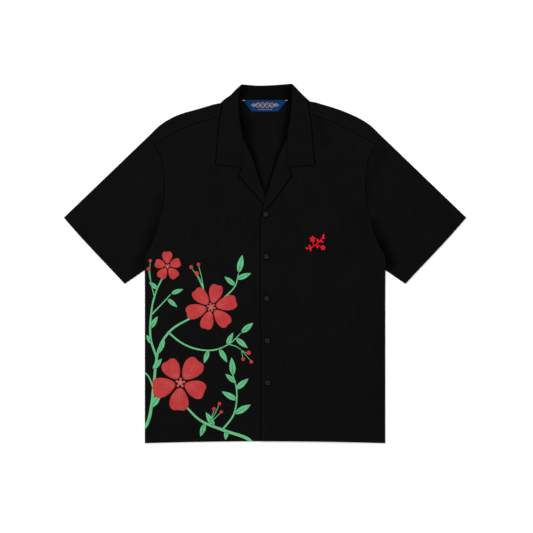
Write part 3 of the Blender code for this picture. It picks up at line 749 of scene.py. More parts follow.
looks = {
    # pale is how strong the painted highlight is; contact is how strongly ambient occlusion darkens the
    # colour as painted shade
    "shirting": {"colour": (0.00318, 0.00318, 0.00318), "roughness": 0.9, "specular": 0.02, "pitch": 0.0007,
                 "grain": 0.9, "slub": 0.3, "pale": 0.22, "contact": 2.4, "depth": 0.00007},
    "facing": {"colour": (0.00308, 0.00308, 0.00308), "roughness": 0.9, "specular": 0.02, "pitch": 0.0007,
               "grain": 0.9, "slub": 0.3, "pale": 0.3, "contact": 2.4, "depth": 0.00007},
    "redInk": {"colour": (0.32, 0.019, 0.019), "other": (0.41, 0.036, 0.037), "roughness": 0.7,
               "specular": 0.15, "grain": 0.18, "depth": 0.00005},
    "paleInk": {"colour": (0.44, 0.07, 0.07), "other": (0.52, 0.11, 0.1), "roughness": 0.7,
                "specular": 0.15, "grain": 0.18, "depth": 0.00005},
    "greenInk": {"colour": (0.08, 0.335, 0.138), "other": (0.112, 0.435, 0.2), "roughness": 0.7,
                 "specular": 0.15, "grain": 0.18, "depth": 0.00005},
    # dish and ring: the painted shade in a button's dish and the painted highlight on its ring
    "button": {"colour": (0.0065, 0.0065, 0.0065), "other": (0.0095, 0.0095, 0.0098), "dish": 0.12,
               "ring": 3.2, "roughness": 0.2, "specular": 0.055},
    "label": {"colour": (0.0012, 0.0205, 0.092), "other": (0.0022, 0.033, 0.142), "gold": (0.27, 0.19, 0.09),
              "roughness": 0.6, "specular": 0.025, "depth": 0.00006, "topHalf": 48.6, "footHalf": 28.6,
              "tall": 25.0, "borderIn": 1.8, "borderWide": 0.6, "wave": 5.6, "rise": 1.6, "pitch": 20.5,
              "line": 1.15, "reach": 31.0, "dotsY": -8.2, "dotsReach": 16.2, "dotPitch": 3.6, "dot": 1.1},
    "blackThread": {"colour": (0.0034, 0.0034, 0.0035), "roughness": 0.8, "specular": 0.04},
    "redThread": {"colour": (0.86, 0.006, 0.022), "roughness": 0.5, "specular": 0.08},
    "goldThread": {"colour": (0.55, 0.34, 0.07), "roughness": 0.4, "specular": 0.4},
    "blueThread": {"colour": (0.01, 0.04, 0.16), "roughness": 0.6, "specular": 0.3},
}
groups = {"twill": twillGroup(), "paintedLight": paintedLightGroup()}
kinds = {  # how each finish is made, and its name
    "shirting": (clothFinish, "black twill"),
    "facing": (clothFinish, "black twill, interlined"),
    "redInk": (inkFinish, "red ink"),
    "paleInk": (inkFinish, "pale red ink"),
    "greenInk": (inkFinish, "green ink"),
    "button": (buttonFinish, "button resin"),
    "label": (labelFinish, "label satin"),
    "blackThread": (threadFinish, "black thread"),
    "redThread": (threadFinish, "red satin thread"),
    "goldThread": (threadFinish, "gold thread"),
    "blueThread": (threadFinish, "blue thread"),
}
finishes = {key: make(name, looks[key]) for key, (make, name) in kinds.items()}
trees = {"stitches": stitchTree(), "threads": threadTree()}
print("finishes and stitch trees ready")


# The back: one piece, which turns forward over both shoulders

backCut = {
    "halfChest": 264.2,
    "hemSide": -394.9,
    "hemCentre": -390.5,
    "cornerY": -16.0,
    "neckY": 362.0,
    "neckCorner": 66.0,
    "neckHigh": 2.35,
    "foldFlat": 5.0,  # a flat strip beside the shoulder fold
    "seam": 0.35,  # what it keeps clear of the forward seam
}
shoulderLine = [
    (257.0, 279.0, 0), (231.0, 304.0, 0), (204.6, 320.5, 0), (178.2, 331.8, 0), (151.8, 340.3, 0),
    (125.4, 348.0, 0), (103.0, 353.8, 0), (88.0, 354.8, 0), (75.6, 360.6, 0),
]
forwardSeam = [
    (242.0, 262.0, 3.1), (208.0, 282.0, 3.1), (181.0, 296.2, 3.1), (143.0, 312.0, 3.3),
    (112.0, 322.3, 3.9), (98.0, 326.2, 4.3), (76.4, 332.5, 4.4),
]
armholeBack = [
    (261.5, -10.4, 0), (250.0, 22, 0), (239.0, 70, 0), (233.5, 120, 0),
    (232.0, 170, 0), (235.0, 215, 0), (242.5, 250, 0), (252.5, 273.9, 0),
]
neckOpening = [  # how far out the neck's edge lies, going down
    (394, 54.0), (366, 58.6), (348, 58.4), (331, 57.0), (314, 55.2), (298.5, 52.9), (286.8, 50.2),
    (272, 46.2), (256.5, 38.8), (242.5, 32.4), (229.5, 27.0), (210.5, 20.8), (193, 15.4), (165, 6.0),
    (138, -4.0),
]
neckShade = {  # painted shade: going down, how wide the shade is that each side of the neck casts inside
    "dark": 0.84,
    "start": 0.1,  # shares of that width
    "end": 1.12,
    "inside": 0.09,  # how much darker all of the inside is painted
    "right": [(340, 24), (320, 31), (307, 40), (294, 36), (281, 32), (267, 23), (241, 18), (215, 15),
              (188, 10), (150, 6)],
    "left": [(340, 20), (320, 20), (294, 24), (281, 22), (267, 17), (254, 10), (228, 8), (188, 6), (150, 5)],
}
backCreases = [  # path, width, depth, ridge
    ([(-40, 250), (-70, 160), (-66, 40)], 22, 0.1, 0.25),
    ([(52, 230), (84, 120), (90, 10)], 26, 0.1, 0.45),
    ([(-200, -30), (-150, -70), (-80, -88)], 18, 0.1, 0.4),
    ([(206, -50), (150, -96), (92, -104)], 20, 0.1, 0.45),
    ([(-120, -180), (-112, -260), (-124, -350)], 24, 0.1, 0.4),
    ([(20, -120), (12, -210), (26, -330)], 28, 0.1, 0.45),
    ([(150, -190), (168, -270), (160, -360)], 22, 0.1, 0.4),
    ([(-190, 190), (-150, 130), (-142, 60)], 18, 0.1, 0.35),
    ([(196, 180), (160, 140), (150, 80)], 16, 0.1, 0.4),
]


def hemY(x):
    middle, side = backCut["hemCentre"], backCut["hemSide"]
    return middle + (side - middle) * (x / backCut["halfChest"]) ** 2


def backHigh(x, y):  # it lies flat, apart from where it crosses the fall of the collar
    rise = backCut["neckHigh"] - layers["lie"]
    return layers["lie"] + rise * ramp(y, 312, 332) * ramp(np.abs(x), 142, 112)


def shoulderSections(sign):
    ridges = evenLine(smoothLine(placed(shoulderLine, sign)), 46)
    seams = evenLine(smoothLine(placed(forwardSeam, sign)), 46)
    sections = []
    for ridge, front in zip(ridges, seams):
        low = float(backHigh(ridge[0], 360))
        inward = unit(np.array([front[0] - ridge[0], front[1] - ridge[1], 0]))
        bend = (front[2] - low) / 2
        ridge = np.array([ridge[0], ridge[1], low + bend]) + inward * layers["wall"] / 2
        start = ridge + inward * (bend + backCut["foldFlat"])
        start[2] = low
        edge = front - inward * backCut["seam"]
        sections.append(rolledSection(start, ridge, edge, up, bend, math.pi, (5, 10, 16)))
    return np.array(sections)


def readDown(table, y):  # reads a table of two columns that goes down in y
    rows = np.array(table[::-1], float)
    return np.interp(y, rows[:, 0], rows[:, 1])


# painted shadow inside the neck opening, darkest beside each side of the neck
def neckShadow(grid):
    x, y = grid[..., 0], grid[..., 1]
    look = neckShade
    shade = 1 - look["inside"] * ramp(y, 120, 190)
    for side, sign in sides.items():
        share = (readDown(neckOpening, y) - sign * x) / readDown(look[side], y)
        shade *= 1 - look["dark"] * ramp(y, 120, 150) * (1 - ramp(share, look["start"], look["end"]))
    return shade


def buildBack():
    grids = []
    for sign in sides.values():
        folded = shoulderSections(sign)
        starts = folded[:, 0]
        corner = [sign * backCut["neckCorner"], backCut["neckY"], backCut["neckHigh"]]
        centre = [0, backCut["neckY"], backCut["neckHigh"]]
        neck = evenLine(np.array([starts[-1], corner, centre]), 17)
        top = joined(neck[::-1], starts[::-1])
        middle = np.array([[0, hemY(0), 0], [0, backCut["neckY"], 0]])
        side = placed([(backCut["halfChest"], backCut[y], 0) for y in ("hemSide", "cornerY")], sign)
        outer = joined(side, np.vstack([side[-1:], smoothLine(placed(armholeBack, sign))]))
        inner = atLengths(middle, places(travelled(middle)[-1], 108, hemPlaces, edgePlaces))
        outer = atLengths(outer, places(travelled(outer)[-1], 108, hemPlaces, edgePlaces))
        share = top[:, 0] / top[-1, 0]
        foot = flat(share * outer[0, 0], hemY(share * outer[0, 0]))
        rows = travelled(inner) / travelled(inner)[-1]
        half = coons(inner, outer, foot, top, rows, share)
        x, y = half[..., 0], half[..., 1]
        dSide = np.abs(sign * backCut["halfChest"] - x)
        edge = ramp(y, 200, 150)
        z = backHigh(x, y)
        underLapel = bell(np.hypot(x + 20, y - 188), 0, 24)  # the lapel's leg comes down to it here
        folds = np.maximum(-0.1, creased(half, backCreases)) * (1 - 0.9 * underLapel)
        z += folds * ramp(dSide, 4, 30) * ramp(y, 300, 240)
        z += 0.3 * (1 - ramp(dSide, 0, 4)) * edge + 0.15 * bell(y - hemY(x), 25, 0.9) * ramp(dSide, 3, 10)
        z[-1] = top[:, 2]
        half[..., 2] = z
        dFront = edgeDistance(folded)
        folded[..., 2] += seamRidge(dFront, 0.16, 0.4, 3.2, 2.2, 1.1)
        turned = runUv(folded)[..., ::-1]
        turned[..., 1] += 400
        # painted shade lines along the forward seam and along the shoulder fold
        shade = edgeShade(dFront, 0.35) * outlineShade(folded, smoothLine(placed(shoulderLine, sign)))
        grids.append({"points": folded, "uv": turned, "shade": shade, "paintedLight": 0.6 * paintedHighlightLine(dFront)})
        grids.append({"points": half, "uv": flatUv(half), "shade": neckShadow(half),
                      "paintedLight": paintedHighlightLine(y - hemY(x))})
    piece = clothPiece("shirt_back", grids, layers["wall"], finishes["shirting"])
    surfaces["back"] = [layerTree(grid["points"]) for grid in grids]
    return piece


surfaces = {}
pieces = {"back": buildBack()}
print("back laid")


# Sleeves: flattened tubes that lie out to the sides

sleeveCut = {
    "cuffTop": (442.3, 101.0),
    "cuffLow": (308.5, -44.7),
    "topEnd": (257.0, 279.0),
    "lowEnd": (263.8, -14.0),
    "cuffBow": 1.4,  # how far the cuff's line bows out, most towards its upper corner
    "cuffHigh": 2.7,
    "seamLow": 2.15,  # the upper layer's height at the armhole, under the front and beside it
    "seamHigh": 3.1,
    "swell": 0.9,
    "seam": 0.3,
    "tipSeam": 0.2,  # the same at the shoulder, where no other layer lies under the seam
}
armhole = [
    (224.6, 119, 0), (221.4, 150, 0), (221.0, 180, 0), (223.2, 209, 0), (230.3, 238, 0), (242.0, 262, 0),
]
armholeHidden = [(261.5, -10.4, 0), (248.0, 22, 0), (236.0, 62, 0), (228.0, 95, 0), (224.6, 119, 0)]
sleeveCreases = {
    "right": [
        ([(-246, 30), (-290, 10), (-330, 14)], 13, 0.7, 0.35),
        ([(-244, 86), (-300, 62), (-350, 70)], 18, 0.55, 0.3),
        ([(-262, 180), (-320, 120), (-372, 84)], 24, 0.4, 0.3),
        ([(-300, 214), (-352, 160), (-404, 118)], 18, 0.3, 0.2),
        ([(-330, -10), (-366, 30), (-408, 66)], 15, 0.35, 0.25),
    ],
    "left": [
        ([(250, 40), (284, 6), (310, -12)], 14, 0.8, 0.35),
        ([(240, 104), (296, 74), (340, 50)], 20, 0.5, 0.3),
        ([(252, 226), (276, 168), (282, 110)], 22, 0.45, 0.3),
        ([(330, 190), (372, 132), (396, 92)], 18, 0.35, 0.25),
        ([(344, 0), (376, 34), (400, 72)], 14, 0.35, 0.25),
    ],
}
sleeveShades = {  # painted shade streaks; path, width, how dark: beside the lower armhole, where the front folds over it
    "right": [
        ([(-233, 110), (-243, 72), (-258, 30), (-276, -4), (-290, -22)], 15, 0.5),
        ([(-232, 150), (-233, 118), (-240, 84)], 9, 0.35),
        ([(-412, 84), (-398, 66), (-388, 54)], 8, 0.18),
    ],
    "left": [
        ([(234, 112), (243, 74), (258, 34), (272, 2), (284, -20)], 16, 0.5),
        ([(243, 62), (255, 34), (268, 8), (282, -16)], 14, 0.68),
        ([(226, 216), (224, 170), (228, 130)], 10, 0.25),
        ([(262, 262), (246, 226), (238, 190)], 16, 0.22),
        ([(424, 92), (406, 74), (392, 60)], 7, 0.22),
    ],
}


# painted shade streaks along the given lines
def shaded(grid, streaks):
    shade = np.ones(grid.shape[:2])
    for path, width, dark in streaks:
        offset, share = offLine(grid, evenLine(smoothLine(path), 9))
        fade = ramp(share, -0.02, 0.22) * ramp(share, 1.02, 0.8)
        shade *= 1 - dark * fade * bell(offset, 0, width)
    return shade


def cuffBow(line, sign, share):
    along = unit(line[-1] - line[0])
    outward = np.array([along[1], -along[0], 0])[:line.shape[1]] * sign
    return line + outward * sleeveCut["cuffBow"] * np.sin(math.pi * np.clip(share, 0, 1) ** 1.6)[:, None]


def buildSleeve(side):
    sign = sides[side]
    cut = sleeveCut
    apart = np.array([sign * cut["seam"], 0, 0])
    closer = 0.8 * cut["tipSeam"]
    tip = np.array([[sign * (cut["topEnd"][0] - 2.0 - closer), cut["topEnd"][1] - 2.4, 0]])
    over = joined(smoothLine(placed(armholeHidden, sign)), smoothLine(placed(armhole, sign)))
    over = evenLine(np.vstack([over, tip]), 67)
    under = evenLine(np.vstack([smoothLine(placed(armholeBack, sign)), tip]), 61)
    over[:, 2] = cut["seamLow"] + (cut["seamHigh"] - cut["seamLow"]) * ramp(over[:, 1], 122, 185)
    under[:, 2] = layers["lie"]
    cuffLow, cuffTop = (np.array([sign * cut[k][0], cut[k][1], 0]) for k in ("cuffLow", "cuffTop"))
    ends = [np.array([sign * cut[k][0], cut[k][1], 0]) for k in ("lowEnd", "topEnd")]
    ends[1][0] += sign * cut["tipSeam"]
    faces = {}
    for name, line in (("under", under), ("over", over)):
        share = travelled(line) / travelled(line)[-1]
        cuff = cuffBow(cuffLow + (cuffTop - cuffLow) * (0.011 + 0.978 * share)[:, None], sign, share)
        reach = np.linalg.norm((line + apart - cuff)[:, :2], axis=1)
        run = np.stack([places(r, 44, hemPlaces, edgePlaces) for r in reach], 1)  # rows by points
        v = run / reach
        grid = cuff[None] + (line + apart - cuff)[None] * v[..., None]
        grid[..., 2] = layers["lie"]
        if name == "over":
            swell = cut["swell"] * np.sin(math.pi * share)[None] * np.sin(math.pi * v)
            grid[..., 2] = cut["cuffHigh"] + (line[:, 2][None] - cut["cuffHigh"]) * ramp(v, 0.4, 1) + swell
        faces[name] = (grid, run, reach[None] - run)
    folds = {}
    for at, cuffEnd, end in ((0, cuffLow, ends[0]), (-1, cuffTop, ends[1])):
        inward = np.cross(unit(end - cuffEnd), up)
        across = faces["over"][0][0, -1 - at] - faces["over"][0][0, at]
        inward *= np.sign(inward.dot(across))
        low, high = faces["under"][0][:, at, 2], faces["over"][0][:, at, 2]
        bend = (high - low) / 2
        v = faces["over"][1][:, at] / (faces["over"][1] + faces["over"][2])[:, at]
        centre = cuffEnd[None] + (end - cuffEnd)[None] * v[:, None]
        centre = centre + inward * (layers["wall"] / 2 + bend)[:, None]
        centre[:, 2] = low + bend
        angle = np.linspace(0, math.pi, 7)[None, :, None]
        folds[at] = centre[:, None] - (inward * np.sin(angle) + up * np.cos(angle)) * bend[:, None, None]
    top, dCuff, dSeam = faces["over"]
    bottom, dCuffLow, dSeamLow = faces["under"]
    edgeFade = ramp(dSeam, 0, 14) * ramp(dCuff, 0, 10)
    edgeFade = edgeFade * ramp(np.abs(np.linspace(0, 1, top.shape[1]) - 0.5), 0.5, 0.44)
    top[..., 2] += creased(top, sleeveCreases[side]) * edgeFade
    top[..., 2] += seamRidge(dSeam, 0.14, 0.4, 3.2, 2.2) + hemRidge(dCuff, 0.12, 0.1)
    bottom[..., 2] += 0.16 * bell(dCuffLow, 25, 0.9) + 0.22 * bell(dSeamLow, 0, 1.5)
    grid = np.concatenate([bottom, folds[-1], top[:, ::-1], folds[0][:, ::-1]], 1)
    cuffs, seams = (np.concatenate([low, np.repeat(high[:, -1:], 7, 1), high[:, ::-1],
                                    np.repeat(high[:, :1], 7, 1)], 1)
                    for low, high in ((dCuffLow, dCuff), (dSeamLow, dSeam)))
    # painted shade streaks on the upper layer, and painted shade lines along the cuff, seams and folds
    shade = np.where(grid[..., 2] < 1.4, 1.0, shaded(grid, sleeveShades[side]))
    shade = shade * edgeShade(cuffs, 0.8) * edgeShade(seams, 0.5)
    for line in ((cuffLow, ends[0]), (cuffTop, ends[1])):
        shade *= outlineShade(grid, np.array(line))
    part = {"points": grid, "uv": runUv(grid, closed=True), "shade": shade, "paintedLight": paintedHighlightLine(cuffs),
            "closed": True}
    piece = clothPiece("shirt_sleeve_" + side, [part], layers["wall"], finishes["shirting"])
    surfaces["sleeve_" + side] = [layerTree(grid, closed=True)]
    return piece


for side in sides:
    pieces["sleeve_" + side] = buildSleeve(side)
print("sleeves laid")


# Fronts

frontCut = {
    "right": {"hemOut": -15.0, "placketOut": -15.0, "placketTop": 117.0},
    "left": {"hemOut": -8.6, "placketOut": -10.6, "placketTop": 98.5},
}
foldOver = [  # where a front lies folded over its sleeve, up from the underarm
    (264.2, -14.3, 0), (265.8, 0, 0), (262.5, 19, 0), (251.3, 38, 0), (239.2, 67, 0), (232.3, 92, 0),
    (224.6, 119, 0),
]
neckSeam = [(51.8, 277.0, 0), (57.2, 286.3, 0), (64.8, 297.3, 0), (71.6, 311.0, 0), (76.4, 332.5, 0)]
lapelTop = [  # roll out, roll y, edge out, edge y, turn
    (46.2, 272.0, 48.9, 270.0, 110),
    (43.6, 266.5, 49.0, 262.0, 110),
    (38.8, 256.5, 49.0, 246.0, 180),
    (32.4, 242.5, 49.3, 229.0, 180),
    (27.0, 229.5, 51.3, 212.0, 180),
    (20.8, 210.5, 54.6, 202.0, 180),
    (15.4, 193.0, 57.5, 192.6, 180),
]
lapelLow = {
    "right": [
        (11.3, 180.0, 45.5, 179.5, 130),
        (5.7, 165.0, 31.8, 164.0, 95),
        (0.2, 151.5, 18.5, 149.0, 90),
        (-5.0, 138.0, 6.5, 134.0, 90),
        (-9.5, 125.0, -3.5, 121.5, 90),
    ],
    "left": [
        (11.4, 179.0, 47.0, 176.5, 140),
        (6.7, 163.5, 34.0, 158.5, 105),
        (2.4, 148.7, 22.0, 142.0, 90),
        (-1.2, 136.0, 12.0, 129.5, 90),
        (-4.2, 124.0, 3.2, 119.9, 90),
        (-7.2, 112.5, -3.6, 110.9, 90),
        (-9.2, 106.0, -6.6, 104.9, 90),
    ],
}
frontCreases = {
    "right": [
        ([(-112, 268), (-126, 214), (-122, 150)], 17, 0.45, 0.35),
        ([(-168, 282), (-176, 226), (-170, 168)], 20, 0.3, 0.3),
        ([(-206, 92), (-184, 40), (-180, -40)], 18, 0.5, 0.35),
        ([(-86, 96), (-100, 10), (-92, -90)], 26, 0.4, 0.3),
        ([(-40, 60), (-52, -40), (-46, -170)], 20, 0.3, 0.25),
        ([(-232, -120), (-222, -220), (-234, -340)], 18, 0.4, 0.25),
        ([(-150, -170), (-142, -260), (-156, -352)], 24, 0.35, 0.3),
        ([(-80, -230), (-74, -300), (-86, -366)], 18, 0.3, 0.2),
    ],
    "left": [
        ([(120, 318), (134, 276), (158, 226)], 15, 0.6, 0.4),
        ([(176, 292), (190, 240), (192, 176)], 18, 0.35, 0.3),
        ([(210, 120), (198, 60), (188, -30)], 17, 0.5, 0.35),
        ([(86, 150), (92, 70), (84, -30)], 24, 0.35, 0.3),
        ([(150, 10), (142, -90), (152, -200)], 26, 0.45, 0.3),
        ([(64, -60), (70, -170), (62, -280)], 22, 0.3, 0.25),
        ([(222, -90), (212, -190), (224, -310)], 18, 0.4, 0.25),
        ([(118, -230), (128, -300), (120, -366)], 20, 0.3, 0.25),
        ([(30, -250), (36, -310), (28, -368)], 14, 0.25, 0.2),
    ],
}
# painted shade streaks: path, width, how dark
frontShades = {
    "right": [
        ([(-34, 132), (-26, 96), (-22, 52)], 17, 0.14),
        ([(-104, 206), (-118, 196), (-132, 190)], 9, 0.12),
        ([(-104, 188), (-110, 150), (-106, 110)], 22, 0.1),
        ([(-24, -20), (-25, -180), (-24, -360)], 9, 0.1),
    ],
    "left": [
        ([(111, 334), (123, 296), (140, 252)], 11, 0.3),
        ([(214, 146), (212, 96), (228, 40)], 17, 0.2),
        ([(184, 120), (176, 60), (180, -10)], 20, 0.08),
        ([(120, 66), (122, 40), (119, 10)], 16, 0.12),
        ([(252, -60), (251, -200), (252, -380)], 10, 0.1),
    ],
}


def buildFront(side):
    sign = sides[side]
    cut = frontCut[side]
    placket = np.array([[sign * cut["hemOut"], hemY(0), 0], [sign * cut["placketOut"], cut["placketTop"], 0]])
    rolls = (lapelTop + lapelLow[side])[:0:-1]
    roll = np.array([placket[1]] + [[sign * (row[0] + 3.2), row[1], 0] for row in rolls])
    upperIn = np.vstack([roll, smoothLine(placed(neckSeam, sign))])
    chest = backCut["halfChest"]
    lowerOut = np.array([[sign * chest, backCut["hemSide"], 0], [sign * chest, foldOver[0][1], 0]])
    upperOut = joined(smoothLine(placed(foldOver, sign)), smoothLine(placed(armhole, sign)))
    ends = []
    for lower, upper in ((placket, upperIn), (lowerOut, upperOut)):
        low = atLengths(lower, places(travelled(lower)[-1], 80, hemPlaces))
        high = atLengths(upper, places(travelled(upper)[-1], 54, (0,), edgePlaces))
        ends.append(joined(low, high))
    inner, outer = ends
    wideBy, longBy = 245, 680  # about how large a front is
    columns = places(wideBy, 44, edgePlaces, edgePlaces) / wideBy
    hemX = inner[0, 0] + (outer[0, 0] - inner[0, 0]) * columns
    foot = flat(hemX, hemY(hemX))
    top = smoothLine(placed(forwardSeam, sign))[::-1] * (1, 1, 0)
    top = atLengths(top, columns * travelled(top)[-1])
    goneIn, goneOut = travelled(inner), travelled(outer)
    rows = (goneIn / goneIn[-1] + goneOut / goneOut[-1]) / 2
    grid = coons(inner, outer, foot, top, rows, columns)
    x, y = grid[..., 0], grid[..., 1]
    z = evenOut(solidHeights("front_" + side, grid), rows * longBy, columns * wideBy, 5, 14)
    wide = np.linalg.norm((outer - inner)[:, :2], axis=1)[:, None]
    dIn, dOut = columns * wide, (1 - columns) * wide
    dTop = (goneIn[-1] - goneIn)[:, None] * (1 - columns) + (goneOut[-1] - goneOut)[:, None] * columns
    dHem = y - hemY(x)
    seamed = ramp(y, 104, 128)  # 0 where the edge is the fold over the sleeve
    folded = (1 - seamed) * ramp(y, -50, -14)
    sideSeam = 1 - ramp(y, -50, -14)
    clear = ramp(dIn, 8, 34) * ramp(dOut, 3, 24) * ramp(dTop, 3, 24) * ramp(dHem, 0, 30)
    z += creased(grid, frontCreases[side]) * clear
    z -= 0.5 * sideSeam * (1 - ramp(dOut, 0, 5)) + 0.4 * folded * (1 - ramp(dOut, 0, 2.6))
    z += seamed * seamRidge(dOut, 0.16, 0.42) + seamRidge(dTop, 0.16, 0.42) + hemRidge(dHem, 0.1, 0.12)
    z -= 0.22 * (1 - ramp(dIn, 0, 1.4))
    grid[..., 2] = z
    # painted highlight lines inside the edges, painted shade streaks, and painted shade lines along the edges
    paintedLight = paintedHighlightLine(dIn) + paintedHighlightLine(dHem) + 0.7 * paintedHighlightLine(dOut) + 0.7 * paintedHighlightLine(dTop)
    shade = shaded(grid, frontShades[side]) * edgeShade(dIn, 0.8) * edgeShade(dHem, 0.8)
    shade *= edgeShade(dTop, 0.35) * edgeShade(dOut, 0.5 + 0.35 * sideSeam)
    surfaces["front_" + side] = [layerTree(grid)]
    part = {"points": grid, "uv": flatUv(grid), "shade": shade, "paintedLight": paintedLight}
    return clothPiece("shirt_front_" + side, [part], layers["wall"], finishes["shirting"])


# Lapels: the facings where they turn back over the fronts

def fineRows(rows, dense):
    fields = np.array(rows, float)
    smooth = smoothLine(fields, dense)
    at = np.arange(len(smooth)) / dense
    straight = np.stack([np.interp(at, np.arange(len(fields)), column) for column in fields.T], -1)
    return smooth, straight


def settled(points, need, spare):  # lifts a layer off those below it, softly along its rows
    lift = np.nan_to_num(np.maximum(0, need - points[..., 2]))
    soft = softened(lift, 3)
    points[..., 2] += np.maximum(soft, lift - spare)
    return points


def buildLapel(side, front, below):
    sign = sides[side]
    smooth, straight = fineRows(lapelTop + lapelLow[side], 6)
    wall, pitch = layers["lapelWall"], layers["pitch"]
    rolls = flat(sign * (smooth[:, 0] + wall / 2), smooth[:, 1])
    edges = flat(sign * straight[:, 2], straight[:, 3])
    across = edges - rolls
    wide = np.linalg.norm(across, axis=1)
    across /= wide[:, None]
    near = rolls + across * np.minimum(5.2, wide)[:, None]
    high = fillLine(heightOn(front, near, 2.5)) + pitch
    edgeHigh = np.maximum(high, fillLine(heightOn(front + below, edges, 2.5)) + pitch)
    high, edgeHigh = (softened(h[:, None], 3, across=False)[:, 0] for h in (high, edgeHigh))
    grid = []
    for k in range(len(rolls)):
        turn = math.radians(straight[k, 4])
        bend = min(1.55, 0.45 * wide[k])
        roll, edge = rolls[k].copy(), edges[k].copy()
        roll += across[k] * bend * (1 - math.sin(turn / 2))
        roll[2] = high[k] - bend * (1 - math.cos(turn / 2))
        edge[2] = edgeHigh[k]
        leg = float(0.4 + 2.6 * ramp(straight[k, 4], 145, 178))
        grid.append(rolledSection(leg, roll, edge, up, bend, turn, (2, 9, 18)))
    grid = np.array(grid)
    free = slice(-19, None)
    need = heightOn(front + below, grid[:, free], 1.2) + pitch - 0.1
    grid[:, free] = settled(grid[:, free], need, 0.35)
    fromEdge = edgeDistance(grid)
    grid[..., 2] -= 0.13 * bell(fromEdge, 5.6, 0.9) + 0.1 * bell(fromEdge, 0, 0.7)
    belly = 0.35 * np.sin(math.pi * np.linspace(0, 1, 19))[None] * ramp(wide, 12, 40)[:, None]
    grid[:, free, 2] += belly
    loose = 1 - ramp(grid[..., 1], 208, 216)  # above the notch the edge is sewn to the collar
    # painted shade along the edge and a painted highlight line inside it, mostly where the edge lies free
    shade = 1 - 0.95 * bell(fromEdge, 0, 1.6) * (0.1 + 0.9 * loose)
    part = {"points": grid, "uv": flatUv(grid), "shade": shade, "paintedLight": paintedHighlightLine(fromEdge) * loose}
    piece = clothPiece("shirt_lapel_" + side, [part], wall, finishes["facing"])
    surfaces["lapel_" + side] = [layerTree(grid)]
    return piece


pieces["front_right"] = buildFront("right")
pieces["lapel_right"] = buildLapel("right", surfaces["front_right"], [])
pieces["front_left"] = buildFront("left")
pieces["lapel_left"] = buildLapel("left", surfaces["front_left"], surfaces["lapel_right"])
print("fronts and lapels laid")


# The collar: leaf and stand in one, from the middle of the back round to its points
# seam out, y, high; roll out, y, high; edge out, y, high; bend; turn

collarBack = [
    (0, 362.7, 2.35, 0, 390.8, 1.85, 0, 346.5, 0.7, 1.15, 180),
    (22, 362.7, 2.35, 22, 391.4, 1.85, 24, 346.7, 0.7, 1.15, 180),
    (43, 362.8, 2.35, 42, 393.0, 1.85, 54, 347.7, 0.7, 1.15, 180),
    (63, 362.6, 2.35, 53.5, 394.0, 1.85, 81, 350.2, 0.7, 1.15, 180),
    (73.0, 361.9, 2.4, 55.2, 393.8, 1.9, 95.4, 353.2, 0.7, 1.2, 180),
]
collarFront = [
    (73.6, 360.4, 4.5, 56.6, 386.6, 6.3, 95.0, 352.4, 6.2, 1.7, 180),
    (75.0, 350.0, 4.4, 58.6, 366.0, 6.5, 94.6, 345.0, 5.7, 1.8, 180),
    (75.2, 338.0, 4.4, 58.4, 348.0, 6.5, 97.0, 332.0, 5.5, 1.8, 180),
    (74.2, 325.0, 4.4, 57.0, 331.0, 6.4, 99.5, 318.0, 5.3, 1.8, 180),
    (69.6, 310.0, 4.35, 55.2, 314.0, 6.2, 101.7, 301.0, 5.2, 1.75, 180),
    (62.6, 296.5, 4.2, 52.9, 298.5, 5.7, 103.3, 284.0, 5.15, 1.7, 180),
    (54.9, 286.5, 3.8, 50.2, 286.8, 5.0, 104.8, 268.0, 5.1, 1.6, 175),
    (49.5, 278.6, 5.3, 50.6, 279.0, 5.9, 105.8, 254.0, 5.1, 2.6, 70),
    (49.4, 268.5, 5.75, 52.8, 268.6, 6.0, 106.6, 243.0, 5.1, 6.0, 30),
    (49.5, 250.0, 5.6, 53.8, 250.0, 5.8, 107.6, 231.0, 5.1, 10.0, 16),
    (49.8, 231.0, 5.5, 54.2, 231.0, 5.7, 108.2, 224.0, 5.05, 10.0, 16),
    (51.6, 212.4, 5.3, 56.0, 212.7, 5.5, 108.4, 217.2, 5.0, 10.0, 16),
]
cornerSteps = 14
collarHollow = {"x": -78.0, "y": 374.0, "reach": 10.0, "deep": 2.4}  # its right slope falls in a little


def collarSection(row, sign, face):
    seam, roll, edge = (np.array([sign * row[k], row[k + 1], row[k + 2]]) for k in (0, 3, 6))
    return rolledSection(seam, roll, edge, face, row[9], math.radians(row[10]), (7, 12, 24))


def cornerSections(sign):  # the band folds at the side of the neck, from lying behind to lying in front
    behind, before = np.array(collarBack[-1], float), np.array(collarFront[0], float)
    made = []
    for k in range(1, cornerSteps):
        angle = math.pi * k / cornerSteps
        row = behind + (before - behind) * k / cornerSteps
        fold = unit(np.array([row[3] - row[6], row[4] - row[7]]))
        outX, outY = abs(fold[1]), abs(fold[0])
        for at in (0, 3, 6):
            low, high = behind[at + 2], before[at + 2]
            radius = (high - low) / 2 * (0.3 if at == 3 else 1)
            row[at] += radius * math.sin(angle) * outX
            row[at + 1] += radius * math.sin(angle) * outY
            row[at + 2] = (low + high) / 2 - (high - low) / 2 * math.cos(angle)
        face = np.array([sign * outX * math.sin(angle), outY * math.sin(angle), -math.cos(angle)])
        made.append(collarSection(row, sign, face))
    return made


